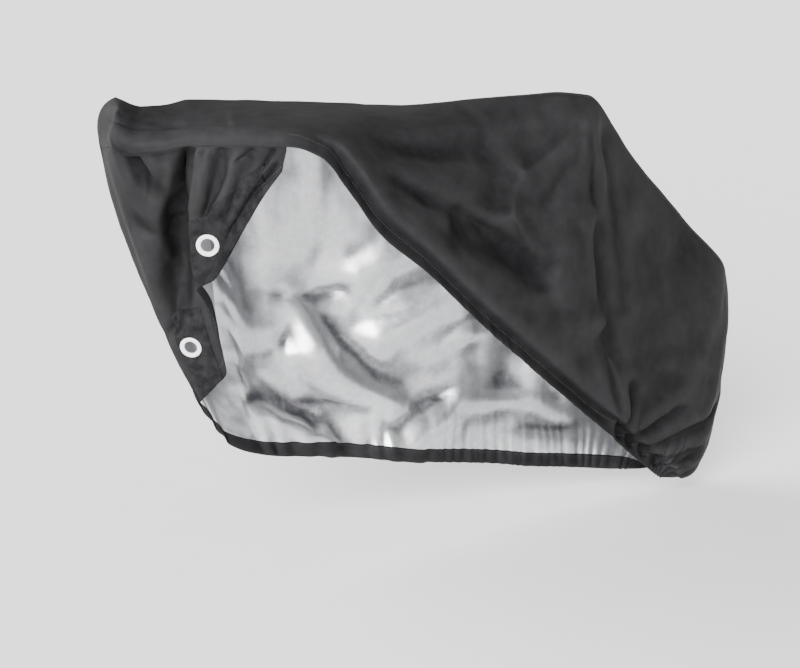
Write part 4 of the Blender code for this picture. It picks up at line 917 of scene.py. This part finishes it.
class Wire:
    """A value in a material. Sums on it add Math nodes."""

    def __init__(self, finish, socket):
        self.finish = finish
        self.socket = socket

    def math(self, operation, *values):
        """Add a Math node on the given values and wires."""
        return self.finish.node("ShaderNodeMath", {"operation": operation}, dict(enumerate(values)))

    def sine(self):
        return self.math("SINE", self)

    def __add__(self, other):
        return self.math("ADD", self, other)

    def __sub__(self, other):
        return self.math("SUBTRACT", self, other)

    def __rsub__(self, other):
        return self.math("SUBTRACT", other, self)

    def __mul__(self, other):
        return self.math("MULTIPLY", self, other)

    __radd__ = __add__
    __rmul__ = __mul__

    def between(self, low, high):
        """0 at low and 1 at high, smooth between them."""
        settings = {"interpolation_type": "SMOOTHSTEP", "clamp": True}
        return self.finish.node("ShaderNodeMapRange", settings, {0: self, 1: low, 2: high})


class Finish:
    """A Principled material whose constants are set on the shader and whose patterns are wired in."""

    def __init__(self, name, **constants):
        self.material = bpy.data.materials.new(name)
        self.material.use_nodes = True
        self.tree = self.material.node_tree
        self.shader = self.tree.nodes["Principled BSDF"]
        for socket, value in constants.items():
            self.shader.inputs[socket.replace("_", " ")].default_value = value

    def node(self, kind, settings=None, values=None, output=0):
        """Add a node: settings first, then the values or wires of its sockets. Its output comes back."""
        made = self.tree.nodes.new(kind)
        for setting, value in (settings or {}).items():
            setattr(made, setting, value)
        for socket, value in (values or {}).items():
            if isinstance(value, Wire):
                self.tree.links.new(value.socket, made.inputs[socket])
            else:
                made.inputs[socket].default_value = value
        return Wire(self, made.outputs[output])

    def place(self):
        """Where a point of the object is, in metres from the saddle's top."""
        return self.node("ShaderNodeTexCoord", output="Object")

    def bend(self):
        """Bend stored on a sheet: -1 in a hollow and 1 on a ridge."""
        return self.node("ShaderNodeAttribute", {"attribute_name": "bend"}, output="Fac")

    def noise(self, place, scale, detail=3.0, roughness=0.5):
        """Cloudy pattern from 0 to 1, with about scale clouds in a metre."""
        values = {"Vector": place, "Scale": scale, "Detail": detail, "Roughness": roughness}
        return self.node("ShaderNodeTexNoise", None, values)

    def mix(self, share, first, second):
        """Colour between two colours."""
        values = {"Factor": share, 6: first, 7: second}
        return self.node("ShaderNodeMix", {"data_type": "RGBA"}, values, output=2)

    def bump(self, height):
        """Relief from a height in metres."""
        return self.node("ShaderNodeBump", None, {"Strength": 1.0, "Distance": 1.0, "Height": height})

    def wire(self, **wires):
        """Wire patterns into the shader."""
        for socket, value in wires.items():
            self.tree.links.new(value.socket, self.shader.inputs[socket.replace("_", " ")])
        return self.material


def weave_height(finish, pitch, height):
    """Plain weave of crossing yarns on the cloth's own coordinates."""
    spot = finish.node("ShaderNodeUVMap", {"uv_map": "weave"})
    across = finish.node("ShaderNodeSeparateXYZ", None, {0: spot}, output="X")
    down = finish.node("ShaderNodeSeparateXYZ", None, {0: spot}, output="Y")
    turns = 2 * math.pi / pitch
    return (across * turns).sine() * (down * turns).sine() * (height / 2)


def coated_outside():
    """Black coated cloth: satin, slightly uneven, greyer on its ridges as wear and painted light, and darker
    in its hollows as painted shade.
    """
    finish = Finish("cloth_outside", Specular_IOR_Level=0.05)
    place = finish.place()
    broad = finish.noise(place, 3.0, 2.0)
    fine = finish.noise(place, 34.0, 5.0, 0.65)
    patchy = broad.between(0.3, 0.7) * 0.3 + fine.between(0.3, 0.75) * 0.2
    # Painted shade and light: the stored bend darkens the hollows and makes the ridges a lighter grey,
    # partly as wear.
    tone_and_painted_shade = patchy + finish.bend().between(-1.0, 1.0) * 0.4
    colour = finish.mix(tone_and_painted_shade, (0.004, 0.004, 0.0045, 1), (0.026, 0.026, 0.027, 1))
    rough = 0.45 + broad * 0.10 + fine * 0.08
    crinkle = finish.noise(place, 16.0, 4.0, 0.6) * 0.0008 + finish.noise(place, 90.0, 3.0) * 0.00012
    relief = finish.bump(crinkle + weave_height(finish, YARN, 0.00004))
    return finish.wire(Base_Color=colour, Roughness=rough, Normal=relief)


def silver_inside():
    """Bright silver coating on the inside, crinkled finely, with painted shade darkening its creases."""
    finish = Finish("cloth_inside", Metallic=0.88)
    place = finish.place()
    broad = finish.noise(place, 4.0, 2.0)
    fine = finish.noise(place, 60.0, 5.0, 0.7)
    patchy = broad.between(0.3, 0.7) * 0.2 + fine.between(0.35, 0.75) * 0.2
    # Painted shade: the stored bend darkens the creases as seen from inside.
    tone_and_painted_shade = patchy + 0.6 - finish.bend().between(0.1, 0.9) * 0.6
    colour = finish.mix(tone_and_painted_shade, (0.12, 0.12, 0.13, 1), (0.70, 0.71, 0.73, 1))
    rough = 0.23 + broad * 0.10 + fine * 0.06
    crinkle = finish.noise(place, 14.0, 4.0, 0.5) * 0.0012 + finish.noise(place, 110.0, 2.0) * 0.00005
    relief = finish.bump(crinkle + weave_height(finish, YARN, 0.00003))
    return finish.wire(Base_Color=colour, Roughness=rough, Normal=relief)


def patch_weave():
    """Matt black webbing of the corner patches."""
    finish = Finish("patch_webbing", Specular_IOR_Level=0.05)
    place = finish.place()
    fine = finish.noise(place, 48.0, 5.0, 0.7)
    colour = finish.mix(fine.between(0.3, 0.7), (0.008, 0.008, 0.009, 1), (0.020, 0.020, 0.021, 1))
    rough = 0.55 + fine * 0.25
    crinkle = finish.noise(place, 40.0, 4.0, 0.6) * 0.0016
    relief = finish.bump(crinkle + weave_height(finish, WEBBING_YARN, 0.00022))
    return finish.wire(Base_Color=colour, Roughness=rough, Normal=relief)


def sewing_thread():
    """Black polyester thread."""
    finish = Finish("sewing_thread", Sheen_Weight=0.3)
    place = finish.place()
    fine = finish.noise(place, 900.0, 2.0)
    colour = finish.mix(fine.between(0.3, 0.7), (0.030, 0.030, 0.032, 1), (0.070, 0.070, 0.074, 1))
    return finish.wire(Base_Color=colour, Roughness=0.45 + fine * 0.2)


def white_plastic():
    """Moulded white plastic of the eyelets, a little dulled by handling."""
    finish = Finish("eyelet_white", IOR=1.49)
    place = finish.place()
    broad = finish.noise(place, 55.0, 3.0)
    fine = finish.noise(place, 420.0, 4.0, 0.7)
    colour = finish.mix(broad.between(0.35, 0.75), (0.90, 0.90, 0.89, 1), (0.78, 0.78, 0.76, 1))
    rough = 0.28 + broad * 0.10 + fine * 0.10
    return finish.wire(Base_Color=colour, Roughness=rough, Normal=finish.bump(fine * 0.00006))


def studio_floor():
    """Pale matt floor."""
    finish = Finish("floor_paper")
    fine = finish.noise(finish.place(), 6.0, 3.0)
    colour = finish.mix(fine, (0.86, 0.86, 0.86, 1), (0.90, 0.90, 0.90, 1))
    return finish.wire(Base_Color=colour, Roughness=0.8 + fine * 0.1)


def aim(eye, target, lean=0.0):
    """Matrix of a camera or light at eye that looks at target, both in metres from the floor."""
    back = (Vector(eye) - Vector(target)).normalized()
    right = Vector((0, 0, 1)).cross(back).normalized()
    up = back.cross(right)
    turned_right = right * math.cos(lean) + up * math.sin(lean)
    turned_up = up * math.cos(lean) - right * math.sin(lean)
    matrix = Matrix((turned_right, turned_up, back)).transposed().to_4x4()
    matrix.translation = Vector(eye) - SADDLE_TOP
    return matrix


def add_camera():
    """Camera at standing height, ahead of the handlebar on the near side."""
    lens = bpy.data.cameras.new("camera")
    lens.sensor_width = SENSOR_WIDTH
    lens.lens = LENS_LENGTH
    lens.shift_y = LENS_SHIFT
    camera = bpy.data.objects.new("camera", lens)
    camera.matrix_world = aim(CAMERA_STAND, CAMERA_TARGET, math.radians(CAMERA_LEAN))
    bpy.context.scene.collection.objects.link(camera)
    bpy.context.scene.camera = camera


def add_lights():
    """Broad soft lights from ahead and from behind, in an even white room."""
    for name, stand, power, spread in BROAD_LIGHTS:
        lamp = bpy.data.lights.new(name, "SUN")
        lamp.energy = power
        lamp.angle = math.radians(spread)
        light = bpy.data.objects.new(name, lamp)
        light.matrix_world = aim(stand, (0.0, 0.0, 0.0))
        bpy.context.scene.collection.objects.link(light)
    room = bpy.data.worlds.new("studio_room")
    room.use_nodes = True
    backdrop = room.node_tree.nodes["Background"]
    backdrop.inputs["Color"].default_value = (1.0, 1.0, 1.0, 1.0)
    backdrop.inputs["Strength"].default_value = ROOM_LIGHT
    bpy.context.scene.world = room


def add_floor():
    """Plain floor under the wheels."""
    maker = bmesh.new()
    bmesh.ops.create_grid(maker, x_segments=1, y_segments=1, size=FLOOR_SIZE / 2)
    bmesh.ops.translate(maker, vec=-SADDLE_TOP, verts=maker.verts)
    finished("floor", maker, [studio_floor()])


# Finishes
outside = coated_outside()
inside = silver_inside()
webbing = patch_weave()
thread = sewing_thread()
plastic = white_plastic()

# The two sheets as grids of points. The far one hangs from the near one's seam
base = near_grid()
near = lay_folds(base, -1)
near = settle(near, grip_of(near, *NEAR_HOLD), NEAR_SLACK)
calm = normals_of(near, -1)
near = lay_creases(near, -1, NEAR_CREASES)
near = overhang(near)
near = tuck_hem(near, calm)
near = shirr(near, calm, NEAR_GATHERS, near[:, -1])
far = lay_folds(far_grid(base), 1)
far = settle(far, grip_of(far, *FAR_HOLD), FAR_SLACK)
far = lay_creases(far, 1, FAR_CREASES)
far = shirr(far, normals_of(far, 1), FAR_GATHERS, far[:, -1])
far = close_seam(far, near)
seats = {name: eyelet_seat("eyelet_" + name) for name, *_ in PATCHES}
for centre, normal in seats.values():
    far = flatten(far, centre, normal)

# Sheets and their turned hems
near_out = normals_of(near, -1)
far_out = normals_of(far, 1)
near_cloth = cloth_piece("near_cloth", near, -1, [outside, inside])
far_cloth = cloth_piece("far_cloth", far, 1, [outside, inside], holes=[seat[0] for seat in seats.values()])
near_hem = turned_hem("near_hem", near, near_out, -1, [outside])
far_hem = turned_hem("far_hem", far, far_out, 1, [outside])

# Corner patches with their eyelets
patches = []
for name, first, last, drop, *_ in PATCHES:
    columns = [column for column, share in enumerate(sewn_shares(base)) if first <= share <= last]
    block = far[columns[0]:columns[-1] + 1, round(drop * BODY_ROWS):]
    block = block + normals_of(block, 1) * PATCH_RISE
    patch = cloth_piece("patch_" + name, block, 1, [webbing], holes=[seats[name][0]])
    patches.append(patch)
    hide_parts("lock_patch_" + name)
    ring = eyelet("ring_" + name, *seats[name], plastic)
    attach(ring, "root")
    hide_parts("eyelet_" + name)
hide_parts("near_panel")
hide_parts("far_panel")

# Stitches of the free hem, of the far hem outside and inside, and beside the seam of the crest
sewing = bmesh.new()
bead = thread_bead()
hem_row = BODY_ROWS + LIP_ROWS + 1
middle = middle_column()
stitch_run(sewing, bead, near[middle:, hem_row], near_out[middle:, hem_row], STITCH_LIFT)
stitch_run(sewing, bead, far[:, hem_row], far_out[:, hem_row], STITCH_LIFT)
stitch_run(sewing, bead, far[:, hem_row], -far_out[:, hem_row], INNER_LIFT)
stitch_run(sewing, bead, near[:, 1], near_out[:, 1], STITCH_LIFT)
stitches = finished("hem_stitches", sewing, [thread])

# What each piece belongs to
for piece in (near_cloth, far_cloth, near_hem, far_hem, stitches, *patches):
    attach(piece, "root")

add_floor()
add_lights()
add_camera()
